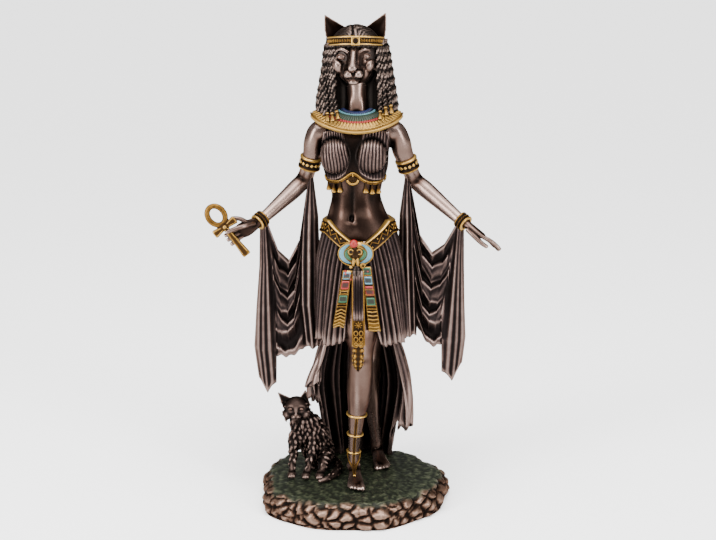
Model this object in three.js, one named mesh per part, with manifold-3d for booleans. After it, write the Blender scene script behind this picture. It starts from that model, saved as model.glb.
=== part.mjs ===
// A cold-cast bronze statue of the cat-headed goddess Bastet, who walks towards the viewer over a
// rocky, mossy ground with a cat sitting at her side. Four castings make it: the figure with its
// drapery, the ankh that is gripped in one hand, the seated cat and the ground.
// Millimetres, +Z up, the figure faces -Y and +X is the viewer's right. The origin is the centre
// of the underside.
import * as THREE from 'three';
import { mergeVertices } from 'three/addons/utils/BufferGeometryUtils.js';
import Module from 'manifold-3d';

const wasm = await Module();
wasm.setup();

// Driving dimensions
const TOTAL_HEIGHT = 280;
const GROUND_Z = 15;
const GLUE_GAP = 0.3;
const CLOTH = 2.2;
const BASE_HALF_WIDTH = 55;
const BASE_HALF_DEPTH = 50;
const BASE_CENTRE = [-1.6, 3.6];

const { PI, sin, cos, abs, max, min, pow, sign } = Math;
const TAU = 2 * PI;
const mix = THREE.MathUtils.lerp;
const ease = (x, from, to) => THREE.MathUtils.smoothstep(x, from, to);
const bump = (x, centre, reach) => ease(reach - abs(x - centre), 0, reach);

// Closed solids from points

// The solid inside a closed set of triangles, turned the right way out.
function solid(points, faces) {
  const build = (list) =>
    new wasm.Manifold(
      new wasm.Mesh({
        numProp: 3,
        vertProperties: new Float32Array(points.flat()),
        triVerts: new Uint32Array(list.flat()),
      }),
    );
  const made = build(faces);
  return made.volume() < 0 ? build(faces.map(([a, b, c]) => [a, c, b])) : made;
}

// The solid of a three.js geometry.
function solidOf(geometry) {
  const bare = geometry.index ? geometry.toNonIndexed() : geometry.clone();
  bare.deleteAttribute('normal');
  bare.deleteAttribute('uv');
  const merged = mergeVertices(bare, 1e-4);
  const place = merged.attributes.position;
  const points = [];
  for (let i = 0; i < place.count; i++) points.push([place.getX(i), place.getY(i), place.getZ(i)]);
  const faces = [];
  const index = merged.index.array;
  for (let i = 0; i < index.length; i += 3) {
    const [a, b, c] = index.slice(i, i + 3);
    if (a !== b && b !== c && c !== a) faces.push([a, b, c]);
  }
  return solid(points, faces);
}

// A skin over rows of points, where each row is a closed loop. The rows close on each other, or
// the two end rows are capped: by a fan, or zipped across where a loop is a flat one.
function skin(rows, { closed = false, cap = 'fan' } = {}) {
  const around = rows[0].length;
  const points = rows.flat();
  const faces = [];
  const spans = closed ? rows.length : rows.length - 1;
  for (let j = 0; j < spans; j++) {
    const below = j * around;
    const above = ((j + 1) % rows.length) * around;
    for (let i = 0; i < around; i++) {
      const k = (i + 1) % around;
      faces.push([below + i, below + k, above + k], [below + i, above + k, above + i]);
    }
  }
  if (!closed) {
    for (const [start, flip] of [[0, true], [(rows.length - 1) * around, false]]) {
      const capFaces = [];
      if (cap === 'fan') {
        const loop = points.slice(start, start + around);
        const middle = [0, 1, 2].map((k) => loop.reduce((s, p) => s + p[k], 0) / around);
        points.push(middle);
        for (let i = 0; i < around; i++) {
          capFaces.push([start + i, start + ((i + 1) % around), points.length - 1]);
        }
      } else {
        for (let i = 0; i < around / 2 - 1; i++) {
          const [a, b] = [start + i, start + i + 1];
          const [c, d] = [start + around - 2 - i, start + around - 1 - i];
          capFaces.push([a, b, c], [a, c, d]);
        }
      }
      faces.push(...(flip ? capFaces.map(([a, b, c]) => [a, c, b]) : capFaces));
    }
  }
  return solid(points, faces);
}

// A limb through stations of [x, y, z, half width, half depth], with a ring square to its path.
// Its depth is measured towards the front, and the ends are rounded off by a last small ring.
function limb(stations, { sides = 12, steps = 2, front = [0, -1, 0] } = {}) {
  const smooth = (points) => new THREE.CatmullRomCurve3(points, false, 'catmullrom', 0.5);
  const path = smooth(stations.map((s) => new THREE.Vector3(s[0], s[1], s[2])));
  const size = smooth(stations.map((s) => new THREE.Vector3(s[3], s[4], 0)));
  const total = (stations.length - 1) * steps;
  const rows = [];
  for (let j = 0; j <= total; j++) {
    const t = j / total;
    const at = path.getPoint(t);
    const along = path.getTangent(t);
    const side = new THREE.Vector3().crossVectors(along, new THREE.Vector3(...front)).normalize();
    const forward = new THREE.Vector3().crossVectors(side, along).normalize();
    const { x: wide, y: deep } = size.getPoint(t);
    const row = [];
    for (let i = 0; i < sides; i++) {
      const a = (i / sides) * TAU;
      const p = at.clone().addScaledVector(side, wide * cos(a));
      row.push(p.addScaledVector(forward, deep * sin(a)).toArray());
    }
    rows.push(row);
  }
  return skin(rows);
}

// A ball stretched to half sizes [x, y, z], turned about the three axes and placed.
function ball(at, half, turn = [0, 0, 0], sides = 12, rings = 8) {
  const geometry = new THREE.SphereGeometry(1, sides, rings);
  geometry.rotateX(PI / 2);
  geometry.applyMatrix4(
    new THREE.Matrix4().compose(
      new THREE.Vector3(...at),
      new THREE.Quaternion().setFromEuler(new THREE.Euler(...turn)),
      new THREE.Vector3(...half),
    ),
  );
  return solidOf(geometry);
}

// A bangle about a point of a limb: its axis, radius and length. Its rims stand out by rim.
function bangle(at, axis, radius, length, { sides = 8, rim = 0.7 } = {}) {
  const turn = new THREE.Quaternion().setFromUnitVectors(
    new THREE.Vector3(0, 0, 1), new THREE.Vector3(...axis).normalize());
  const profile = rim ? [[-0.5, 0], [0, -rim], [0.5, 0]] : [[-0.5, 0], [0.5, 0]];
  return skin(profile.map(([along, out]) => {
    const row = [];
    for (let i = 0; i < sides; i++) {
      const a = (i / sides) * TAU;
      const p = new THREE.Vector3((radius + out) * cos(a), (radius + out) * sin(a), along * length);
      row.push(p.applyQuaternion(turn).add(new THREE.Vector3(...at)).toArray());
    }
    return row;
  }));
}

// A sheet of carved cloth: face(u, v) is its front, with u running across and v down. Its back lies
// behind that by thick(u, v), square to the face or straight backwards.
function cloth(face, across, down, { thick = () => CLOTH, straight = false } = {}) {
  const step = 1e-3;
  const at = (u, v) => new THREE.Vector3(...face(u, v));
  const rows = [];
  for (let j = 0; j <= down; j++) {
    const v = j / down;
    const front = [];
    const back = [];
    for (let i = 0; i <= across; i++) {
      const u = i / across;
      const p = at(u, v);
      const du = at(min(u + step, 1), v).sub(at(max(u - step, 0), v));
      const dv = at(u, min(v + step, 1)).sub(at(u, max(v - step, 0)));
      const behind = straight ? new THREE.Vector3(0, 1, 0) : dv.cross(du).normalize();
      front.push(p.toArray());
      back.push(p.addScaledVector(behind, thick(u, v)).toArray());
    }
    rows.push([...front, ...back.reverse()]);
  }
  return skin(rows, { cap: 'zip' });
}

// The pieces as one solid, with any hollow closed in between them filled.
function join(pieces) {
  const skins = pieces.reduce((sum, piece) => sum.add(piece)).decompose();
  return skins.filter((shell) => shell.volume() > 0).reduce((sum, shell) => sum.add(shell));
}

// The goddess's body

// [x, y, z, half width, half depth] from inside the skirt up to the neck.
const TORSO = [
  [1.7, 1.6, 150, 20, 12.5],
  [1.5, 1.2, 160, 20.2, 12.4],
  [0.9, 0.0, 171, 16.0, 9.8],
  [0.6, -0.4, 180, 13.6, 8.7],
  [0.5, -0.2, 188, 15.0, 9.3],
  [0.3, 0.2, 196, 17.3, 10.2],
  [0.2, 0.6, 205, 18.2, 10.2],
  [0.5, 1.0, 213, 19.6, 9.0],
  [0.7, 1.5, 218.5, 17.2, 7.4],
  [0.8, 1.6, 223, 11.2, 6.3],
  [0.9, 0.8, 230, 6.0, 5.5],
  [0.9, 0.0, 245, 5.5, 5.5],
];
const CHEST_X = -1.2;

function torso() {
  const breasts = [-1, 1].map((s) =>
    ball([CHEST_X + s * 9.4, -6.6, 202.6], [8.5, 7.4, 9.2], [0, 0, 0], 10, 6));
  return join([limb(TORSO, { sides: 12, steps: 1 }), ...breasts]);
}

const RIGHT_LEG = [
  [-4, -1, 130, 12, 12],
  [1, -7.5, 115, 11.4, 11.6],
  [2.9, -11.5, 104, 10.0, 10.2],
  [3.4, -13.6, 94, 6.9, 7.6],
  [3.0, -11.4, 80, 7.0, 7.4],
  [2.4, -8.8, 69, 6.8, 7.0],
  [1.1, -6.4, 57, 5.2, 5.6],
  [0.1, -4.6, 44, 3.8, 4.2],
  [-0.8, -3.2, 32, 3.1, 3.6],
  [-1.0, -2.0, 20, 3.5, 4.8],
];
const LEFT_LEG = [
  [9, 5, 120, 10, 10],
  [8.8, 7, 102, 8.4, 8.8],
  [8.6, 11, 86, 7.2, 7.7],
  [8.8, 18, 66, 6.2, 6.6],
  [10.4, 25, 44, 4.2, 4.6],
  [12.4, 29.2, 28, 3.2, 3.7],
  [12.8, 30.4, 18, 3.4, 4.8],
];

// A foot in rows from heel to toe, turned outwards: [y, half width, height, how deep the toes part].
// big is the big toe's side.
const FOOT = [
  [4.4, 2.0, 3.4, 0],
  [1, 3.3, 7, 0],
  [-7, 3.4, 6.6, 0],
  [-16, 4.3, 4.4, 0],
  [-24, 5.0, 3.3, 0.35],
  [-29.5, 4.7, 2.2, 0.6],
];
function foot(heel, turn, big) {
  return skin(FOOT.map(([y, wide, high, part]) => {
    const place = (x, z) => {
      const reach = y - part * 2.4 * big * (x / wide);
      const [right, back] = [x * cos(turn) - reach * sin(turn), x * sin(turn) + reach * cos(turn)];
      return [heel[0] + right, heel[1] + back, GROUND_Z + z];
    };
    const top = [];
    for (let k = 0; k <= 10; k++) {
      const across = 1 - k / 5;
      const groove = k % 2 ? part : -part;
      top.push(place(wide * across, high * (1 - 0.45 * pow(abs(across), 3)) + groove));
    }
    return [...top, place(-wide, -1), place(wide, -1)];
  }));
}

// Everything below the ground is taken off, so that the soles are flat.
function aboveGround(piece) {
  const soil = new THREE.BoxGeometry(300, 300, 40);
  soil.translate(0, 0, GROUND_Z + GLUE_GAP - 20);
  return piece.subtract(solidOf(soil));
}

function legs() {
  const feet = [foot([-0.6, 2.6], 0.05, 1), foot([12.8, 34.5], 0.12, -1)];
  return join([limb(RIGHT_LEG, { sides: 10, steps: 1 }), limb(LEFT_LEG, { sides: 8, steps: 1 }), ...feet]);
}

// The arms reach down and out, with the elbows back and the hands forward.
const RIGHT_ARM = [
  [-15.5, 1.5, 216.5, 5.4, 5.6],
  [-20.0, 1.6, 215.4, 5.8, 6.0],
  [-22.7, 2.2, 210, 5.6, 5.8],
  [-24.0, 3.6, 203, 5.0, 5.0],
  [-25.8, 6.0, 195.5, 4.5, 4.5],
  [-28.6, 9.6, 187.8, 4.6, 4.2],
  [-34.0, 6.2, 182.2, 4.8, 4.3],
  [-41.2, -0.4, 176.2, 4.1, 3.5],
  [-48.6, -7.6, 170.2, 3.4, 2.5],
  [-51.6, -9.8, 168.0, 3.2, 2.4],
];
const LEFT_ARM = [
  [17.0, 1.5, 216.5, 5.4, 5.6],
  [21.8, 1.6, 215.4, 5.8, 6.0],
  [24.8, 2.2, 210, 5.8, 5.8],
  [26.4, 3.4, 204, 5.6, 5.2],
  [30.0, 6.0, 195, 4.6, 4.5],
  [33.8, 9.6, 187, 4.6, 4.2],
  [39.8, 6.2, 182.0, 4.8, 4.3],
  [48.4, -0.8, 175.2, 4.1, 3.5],
  [57.0, -8.0, 168.4, 3.4, 2.5],
  [60.0, -9.6, 166.2, 3.2, 2.4],
];
const WRISTS = { right: [-52.1, -10.0, 167.7], left: [59.4, -9.4, 166.8] };
const ARMBANDS = { right: [-25.0, 5.0, 197.8], left: [29.1, 5.0, 196.9] };

// The left hand is open and hangs from the wrist, with the fingers together and the thumb below.
function openHand() {
  const palm = limb([
    [59.2, -9.2, 166.8, 2.8, 2.6],
    [63.4, -10.6, 164, 3.2, 3.6],
    [67.4, -11.6, 161, 2.5, 4.2],
    [70.6, -12, 158.8, 1.6, 4],
  ], { sides: 6, steps: 1 });
  const tips = [[78.8, 153.4], [79.6, 152.2], [79.2, 151.2], [77, 152.6]];
  const fingers = tips.map(([x, z], k) => {
    const y = -15.2 + 2.1 * k;
    const knuckle = [69.4, y + 0.4, 159.6 - 0.2 * k, 1.2, 1.2];
    return limb([knuckle, [74.8, y, 156.4 - 0.3 * k, 1.2, 1.2], [x, y, z, 0.7, 0.7]], { sides: 4, steps: 1 });
  });
  const thumb = limb([
    [62.5, -13, 162, 1.9, 1.9],
    [67.6, -15, 156.8, 1.4, 1.4],
    [72.6, -15.6, 153.4, 0.8, 0.8],
  ], { sides: 4, steps: 1 });
  return join([palm, ...fingers, thumb]);
}

// The right hand is closed on the ankh: the fingers pass behind its stem and the thumb in front.
function grippingHand() {
  const palm = limb([
    [-51.2, -9.6, 168.2, 2.8, 2.4],
    [-55.8, -10, 165.2, 4.0, 2.6],
    [-60, -10.2, 162.4, 4.8, 2.2],
    [-63.6, -10.6, 161, 4.4, 1.6],
  ], { sides: 6, steps: 1 });
  const tips = [[-71.4, 159.4], [-70, 156.8], [-68.1, 154.2]];
  const fingers = tips.map(([x, z], k) => {
    const knuckle = [-61.8, -10.6, 163.6 - 2.4 * k, 1.3, 1.3];
    const middle = [-67.4 + 0.8 * k, -12, 161.6 - 2.6 * k, 1.3, 1.3];
    return limb([knuckle, middle, [x, -13.2, z, 0.9, 0.9]], { sides: 4, steps: 1 });
  });
  const index = limb([
    [-58.6, -10.6, 165.6, 1.6, 1.6],
    [-63.6, -11.6, 168.8, 1.5, 1.5],
    [-67.2, -12.2, 169.2, 1, 1],
  ], { sides: 4, steps: 1 });
  const thumb = limb([
    [-55.4, -11.4, 166.6, 1.9, 1.9],
    [-62.2, -17.4, 165.4, 1.6, 1.6],
    [-70.2, -18.8, 162.2, 0.9, 0.9],
  ], { sides: 4, steps: 1 });
  return join([palm, ...fingers, index, thumb]);
}

function arms() {
  const [right, left] = [RIGHT_ARM, LEFT_ARM].map((arm) => limb(arm, { sides: 7, steps: 1 }));
  return join([right, left, openHand(), grippingHand()]);
}

// The head

// One pricked ear, hollow to the front: the base runs from inner to outer, up to the tip.
function ear(inner, outer, tip) {
  const at = (p, q, t) => p.map((value, k) => mix(value, q[k], t));
  return cloth((u, v) => {
    const foot = at(inner, outer, u);
    const p = at(foot, tip, v * 0.99);
    const hollow = 2.6 * sin(PI * u) * (1 - v);
    return [p[0], p[1] + hollow, p[2] + 1.6 * sin(PI * u) * (1 - v)];
  }, 4, 2, { thick: () => 1.3 });
}

function head() {
  const skull = ball([0.5, -1.2, 255.6], [11.5, 11, 12.6], [0, 0, 0], 12, 7);
  const jaw = ball([0.1, -5.4, 248.8], [9.2, 7.6, 7.4], [0, 0, 0], 10, 6);
  const bridge = limb([
    [-0.2, -8.6, 262, 2.8, 2.4],
    [-0.8, -12.6, 256, 2.2, 2.4],
    [-1.4, -15.2, 251.4, 2.5, 1.9],
    [-1.4, -14.6, 249.4, 1.8, 1.2],
  ], { sides: 5, steps: 1 });
  const muzzle = ball([-1, -11.6, 247], [6, 4.6, 3.8], [0, 0, 0], 8, 5);
  const ears = [
    ear([-3.2, 1.5, 271.4], [-14.8, 3.5, 262], [-16.6, 0.5, TOTAL_HEIGHT - 1.2]),
    ear([15.4, 3.5, 262], [4.2, 1.5, 271.4], [16.8, 0.5, TOTAL_HEIGHT]),
  ];
  return join([skull, jaw, bridge, muzzle, ...ears]);
}

// The braided wig: a cap of hair, and below it braids that fall round the back and beside the face
// onto the shoulders. Its front is hollowed for the throat.
function wig() {
  const cap = ball([0.4, 3.4, 255.4], [15.8, 13.2, 18], [0, 0, 0], 14, 8);
  const braids = 8;
  const levels = [
    [263, 16.2, 14],
    [250, 17.9, 14.2],
    [238, 19.8, 14],
    [229, 20.9, 13.6],
    [222.6, 20.2, 12.6],
  ];
  const throat = [[-12.4, -6.6], [-7.5, -3.2], [0, -1.6], [7.5, -3.2], [12.4, -6.6]];
  const rows = levels.map(([z, wide, deep]) => {
    const row = [];
    for (let i = 0; i <= braids * 2; i++) {
      const phi = (0.5 - i / (braids * 2)) * 1.56 * PI;
      const wave = i % 2 ? 0.45 : -0.45;
      const back = (deep + wave) * cos(phi) * (cos(phi) < 0 ? 0.8 : 1);
      row.push([1 + (wide + wave) * sin(phi), 1.4 + back, z]);
    }
    return [...row, ...throat.map(([x, y]) => [1 + x, y, z])];
  });
  return join([cap, skin(rows)]);
}

function headband() {
  const rows = [];
  const sides = 14;
  for (let j = 0; j < sides; j++) {
    const a = (j / sides) * TAU;
    const lift = 1.3 * -sin(a);
    const at = (out, z) => [0.5 + (15 + out) * cos(a), 1.2 + (14.2 + out) * sin(a), z + lift];
    rows.push([at(-1.5, 261.5), at(0.6, 261.5), at(0.2, 266.3), at(-1.9, 266.3)]);
  }
  return skin(rows, { closed: true });
}

// Jewellery

// The broad collar lies on the shoulders and dips to the breast.
function collar() {
  const rows = [];
  const sides = 18;
  for (let j = 0; j < sides; j++) {
    const a = (j / sides) * TAU;
    const front = max(0, -sin(a));
    const at = (t, up) => {
      const z = mix(228.5, 225.2 - 8.4 * pow(abs(sin(a)), 1.6), t) - 2.5 * front * (1 - t);
      const y = mix(1 + 6.6 * sin(a), 1.4 + 14.2 * sin(a) + 1.4 * max(0, sin(a)), t);
      return [0.9 + mix(7.2, 25.6, t) * cos(a), y, z + up];
    };
    rows.push([at(0, 0.6), at(0.5, 0.9), at(1, 1.2), at(1, -2.2), at(0, -4)]);
  }
  return skin(rows, { closed: true });
}

function bangles() {
  return join([
    bangle(ARMBANDS.right, [-0.22, 0.25, -0.92], 5.8, 7.4),
    bangle(ARMBANDS.left, [0.3, 0.25, -0.9], 5.8, 7.4),
    bangle(WRISTS.right, [-0.66, -0.55, -0.5], 4.6, 5.0, { rim: 0 }),
    bangle(WRISTS.left, [0.68, -0.5, -0.5], 4.6, 5.0, { rim: 0 }),
    bangle([0.9, -6.2, 54.5], [-0.07, 0.1, -1], 5.9, 1.6, { sides: 7, rim: 0 }),
    bangle([-0.1, -4.4, 42], [-0.07, 0.1, -1], 4.7, 1.6, { sides: 7, rim: 0 }),
    bangle([-0.9, -3.2, 31], [-0.05, 0.1, -1], 4.0, 1.6, { sides: 7, rim: 0 }),
  ]);
}

// The belt's upper edge is a V that climbs from the buckle to the hips.
function beltTop(a) {
  const flank = abs(cos(a));
  return 153.6 + 13.4 * pow(min(1, flank / 0.86), 1.1) + 8.5 * ease(sin(a), 0, 0.6) * (1 - flank);
}

// Half width, half depth and middle of the hips under the belt and skirt at a height.
function hips(z) {
  const t = (z - 97) / (168 - 97);
  const wide = t > 0.6 ? mix(23.2, 17.8, pow((t - 0.6) / 0.4, 1.5)) : mix(24.2, 23.2, t / 0.6);
  const deep = mix(20.2, 11.4, pow(ease(t, -0.4, 1.25), 1.3));
  return { x: mix(3.6, 2.0, t), y: mix(0.4, 1.0, t), wide, deep };
}

function belt() {
  const rows = [];
  const sides = 16;
  for (let j = 0; j < sides; j++) {
    const a = (j / sides) * TAU;
    const top = beltTop(a);
    const at = (z, out) => {
      const h = hips(z);
      return [h.x + (h.wide + out) * cos(a), h.y + (h.deep + out) * sin(a), z];
    };
    rows.push([at(top - 7.2, 2), at(top - 3.6, 2.1), at(top, 1.5), at(top, -2.4), at(top - 7.2, -2.4)]);
  }
  return skin(rows, { closed: true });
}

// The bodice's lower edge carries two groups of bell drops and a round drop in the middle.
function bodiceFringe() {
  const drops = [-12.5, -9.4, -6.4, 6.0, 9.2, 12.2].map((x) => {
    const y = -9.4 + 0.022 * x * x;
    return limb([
      [CHEST_X + x, y + 0.6, 194, 0.8, 1],
      [CHEST_X + x, y, 188.4, 1, 1.1],
      [CHEST_X + x, y + 0.3, 184, 1.5, 1.4],
    ], { sides: 4, steps: 1 });
  });
  return join([...drops, ball([CHEST_X + 0.2, -9.8, 192], [3.4, 1.8, 3.0], [0, 0, 0], 8, 5)]);
}

// The winged scarab buckle with its sun disc, and the beaded drop below.
function buckle() {
  const at = [0.3, -17.2, 150.6];
  const wings = new THREE.Shape();
  wings.absellipse(0, 0, 9.3, 6.2, 0, TAU, false, 0);
  const geometry = new THREE.ExtrudeGeometry(wings, { depth: 3.6, bevelEnabled: false, curveSegments: 8 });
  geometry.rotateX(PI / 2);
  geometry.translate(at[0], at[1] + 2.8, at[2]);
  const sun = ball([at[0] - 1.2, at[1] - 0.4, at[2] + 5.4], [2.5, 2.0, 2.5], [0, 0, 0], 8, 5);
  const scarab = ball([at[0], at[1] - 0.8, at[2] - 0.6], [2.9, 1.8, 5.4], [0, 0, 0], 6, 5);
  const lotus = ball([at[0] + 0.5, at[1] - 0.6, at[2] - 10.6], [3.6, 2.6, 3.6], [0, 0, 0], 8, 5);
  const beads = new THREE.Shape();
  beads.absellipse(0, 0, 6.8, 5.4, PI, TAU, false, 0);
  const drop = new THREE.ExtrudeGeometry(beads, { depth: 3.6, bevelEnabled: false, curveSegments: 5 });
  drop.rotateX(PI / 2);
  drop.translate(at[0] + 0.4, at[1] + 2.2, at[2] - 10.4);
  return join([solidOf(geometry), sun, scarab, lotus, solidOf(drop)]);
}

// One flat ribbon between two points, hanging a little proud of the skirt.
function ribbon(top, bottom, wideTop, wideBottom, thick) {
  const middle = top.map((v, k) => (v + bottom[k]) / 2);
  return limb([
    [...top, wideTop, thick],
    [...middle, (wideTop + wideBottom) / 2, thick],
    [...bottom, wideBottom, thick],
  ], { sides: 6, steps: 1 });
}

function ribbons() {
  return join([
    ribbon([-4.4, -17.2, 140], [-8.6, -20.8, 111.6], 2.2, 2.9, 1.3),
    ribbon([5.8, -17.2, 140], [10.6, -20.8, 108.6], 2.2, 2.9, 1.3),
    ribbon([1.6, -18.0, 141], [1.8, -24.6, 100], 3.1, 3.3, 1.3),
    limb([
      [1.8, -24.4, 102, 3.2, 1.4],
      [1.7, -24.0, 94, 3.4, 1.7],
      [1.6, -22.4, 88, 2.9, 1.9],
      [1.6, -21.0, 84.4, 1.0, 1.0],
    ], { sides: 6, steps: 1 }),
  ]);
}

// The drapery

// The short pleated skirt over the hips, parted in front of the leg. It is solid down to a hollow
// under its hem.
const PLEATS = 16;
const HEM_HOLLOW = 9;
function skirt() {
  const sides = PLEATS * 2;
  const hang = (share, out, lift) => {
    const row = [];
    for (let j = 0; j < sides; j++) {
      const fromFront = (((j / sides) * TAU + PI) % TAU) - PI;
      const fan = fromFront * (1 - 0.42 * (1 - share) * pow(cos(fromFront / 2), 2));
      const a = fan - PI / 2;
      const parting = 34 * pow(bump(fromFront, 0.02, 0.52), 1.1);
      const hem = 98.4 + parting + 1.6 * (j % 2 ? -1 : 1) + 3 * ease(sin(a), 0.2, 0.9);
      const z = mix(beltTop(a) - 5.5, hem, share) + lift;
      const h = hips(z);
      const reach = out + (j % 2 ? 1 : -1) * mix(0.2, 1.0, share);
      row.push([h.x + (h.wide + reach) * cos(a), h.y + (h.deep + reach) * sin(a), z]);
    }
    return row;
  };
  const outside = [hang(0, 1.2, 0), hang(0.33, 1.4, 0), hang(0.67, 1.7, 0), hang(1, 2, 0)];
  return skin([...outside, hang(1, -0.2, 0), hang(1, -1, HEM_HOLLOW)]);
}

// The long underskirt falls from the hips behind the legs in deep folds. Its open front edges are
// caught up at the sides and its back trails on the ground.
const TRAIN_TOP = 108;
const TRAIN_REACH = 2.15;
const squarish = (value) => sign(value) * pow(abs(value), 0.72);
function train() {
  const folds = 7;
  return cloth((u, v) => {
    const phi = (0.5 - u) * 2 * TRAIN_REACH;
    const right = phi > 0;
    const hem = right
      ? mix(GROUND_Z - 1, 46, ease(phi, 0.75, 1.15))
      : mix(GROUND_Z - 1, 57, ease(-phi, 0.85, 1.15)) + 15 * ease(-phi, 1.35, 1.8);
    const z = mix(TRAIN_TOP, hem, v);
    const drop = (140 - z) / (140 - GROUND_Z);
    const swell = sin(PI * min(1, drop * 1.02)) * ease(drop, 0.2, 0.65);
    const wide = right ? mix(17, 23, drop) + 9 * swell : mix(16, 20, drop) + 9 * swell;
    const deep = mix(12, 41, pow(drop, 1.15));
    const wave = cos(u * folds * TAU) * mix(0.4, 3.0, drop);
    return [
      mix(2.2, 1.6, drop) + (wide + wave) * squarish(sin(phi)),
      mix(2, 1, drop) + (deep + wave) * squarish(cos(phi)) * (cos(phi) < 0 ? 0.4 : 1),
      z,
    ];
  }, folds * 3, 4);
}

// One wing of the shawl hangs between the armband and the wrist. A column of cloth falls from the
// armband, a longer one falls from the wrist, and a sheet sags between them in U folds. x counts
// outwards. Each list runs down its part in even steps, and a sheet's list runs from the column to
// the fall.
const WINGS = {
  right: {
    side: -1,
    column: {
      top: 192,
      bottom: 92.5,
      x: [24.8, 25, 25.3, 25.9, 24.4],
      half: [1, 4.3, 5.4, 5.3, 4.4],
      y: [8.4, 6, 3.6, 2, 1.4],
      deep: [3.6, 5.6, 7, 7.4, 5],
    },
    fall: {
      top: 166.5,
      bottom: 68,
      x: [50.6, 50.0, 50.4, 51.0, 49.8],
      half: [2, 3.3, 5, 6, 5],
      y: [-7.4, -7.2, -6.6, -6, -4.6],
      deep: [4.4, 5.6, 6.2, 6, 4],
    },
    edge: [192, 153.8, 143.2, 149.6, 166.5],
    hem: [92.5, 89.6, 88, 88.4, 89.4],
    corners: [5.5, 8],
  },
  left: {
    side: 1,
    column: {
      top: 191,
      bottom: 99,
      x: [29.2, 28.7, 28.6, 29.6, 31.2],
      half: [1, 3.7, 4.4, 4.6, 3.8],
      y: [8.4, 6.6, 5, 3.8, 3],
      deep: [3.6, 5.4, 6.4, 6.4, 4.6],
    },
    fall: {
      top: 165.4,
      bottom: 75,
      x: [58.2, 57.2, 56.3, 55.6, 54.9],
      half: [2, 3.4, 5, 6.7, 5.8],
      y: [-7.4, -7.2, -6.6, -6, -4.6],
      deep: [4.4, 5.6, 6.2, 6, 4],
    },
    edge: [191, 156.6, 147.6, 153, 165.4],
    hem: [105, 98.6, 94.6, 94, 96.5],
    corners: [5, 10],
  },
};

// The value of a list at t between 0 and 1, on a smooth curve through its even steps.
function along(list, t) {
  const points = list.map((value) => new THREE.Vector3(value, 0, 0));
  return new THREE.CatmullRomCurve3(points, false, 'catmullrom', 0.5).getPoint(t).x;
}

function shawlWing({ side, column, fall, edge, hem, corners }) {
  const [columnEnd, fallStart] = [0.25, 0.75];
  const hanging = (part, s, v) => ({
    x: along(part.x, v) + along(part.half, v) * s,
    y: along(part.y, v),
    z: mix(part.top, part.bottom, v),
    deep: mix(CLOTH, along(part.deep, v), 1 - s * s),
  });
  const wing = (u, v) => {
    if (u <= columnEnd) return hanging(column, (u / columnEnd) * 2 - 1, v);
    if (u >= fallStart) {
      const s = ((u - fallStart) / (1 - fallStart)) * 2 - 1;
      const p = hanging(fall, s, v);
      return { ...p, z: p.z + abs(s) * corners[s < 0 ? 0 : 1] * pow(v, 4) };
    }
    const w = (u - columnEnd) / (fallStart - columnEnd);
    const [from, to] = [hanging(column, 1, v), hanging(fall, -1, v)];
    const fold = 1.6 * pow(sin(PI * w), 0.7) * cos(v * 4 * TAU);
    const z = mix(along(edge, w), along(hem, w), v);
    return { x: mix(from.x, to.x, w), y: mix(from.y, to.y, w) - fold, z, deep: CLOTH };
  };
  const face = (u, v) => {
    const { x, y, z, deep } = wing(u, v);
    return [side * x, y - deep / 2, z];
  };
  return cloth(face, 8, 8, { thick: (u, v) => wing(u, v).deep, straight: true });
}

// The ankh

// The ankh lies in its own plane, with its cross-point at the origin of that plane and its loop up.
const ANKH = { at: [-71.2, -15.4, 164.8], lean: 0.655, thick: 2.8 };

function ankhSolid(grow = 0) {
  const stem = new THREE.Shape();
  stem.moveTo(-1.6 - grow, 0).lineTo(-2.4 - grow, -19.8 - grow);
  stem.lineTo(2.4 + grow, -19.8 - grow).lineTo(1.6 + grow, 0);
  const bar = new THREE.Shape();
  bar.moveTo(-7.4 - grow, -2.4 - grow).lineTo(0, -1.6 - grow).lineTo(7.4 + grow, -2.2 - grow);
  bar.lineTo(7.4 + grow, 2 + grow).lineTo(0, 1.6 + grow).lineTo(-7.4 - grow, 2.4 + grow);
  const loop = new THREE.Shape();
  loop.absellipse(0.2, 7.8, 6.1 + grow, 7.1 + grow, 0, TAU, false, 0);
  const hole = new THREE.Path();
  hole.absellipse(0.2, 7.9, 2.9 - grow, 4.1 - grow, 0, TAU, true, 0);
  loop.holes.push(hole);
  const upright = new THREE.Matrix4().makeRotationX(PI / 2);
  const turn = new THREE.Matrix4().makeRotationY(-ANKH.lean).multiply(upright);
  const depth = ANKH.thick + 2 * grow;
  return join([stem, bar, loop].map((outline) => {
    const geometry = new THREE.ExtrudeGeometry(outline, { depth, bevelEnabled: false, curveSegments: 9 });
    geometry.translate(0, 0, -depth / 2);
    geometry.applyMatrix4(turn);
    geometry.translate(...ANKH.at);
    return solidOf(geometry);
  }));
}

// The seated cat

const CAT_GROUND = GROUND_Z + GLUE_GAP;

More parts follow.
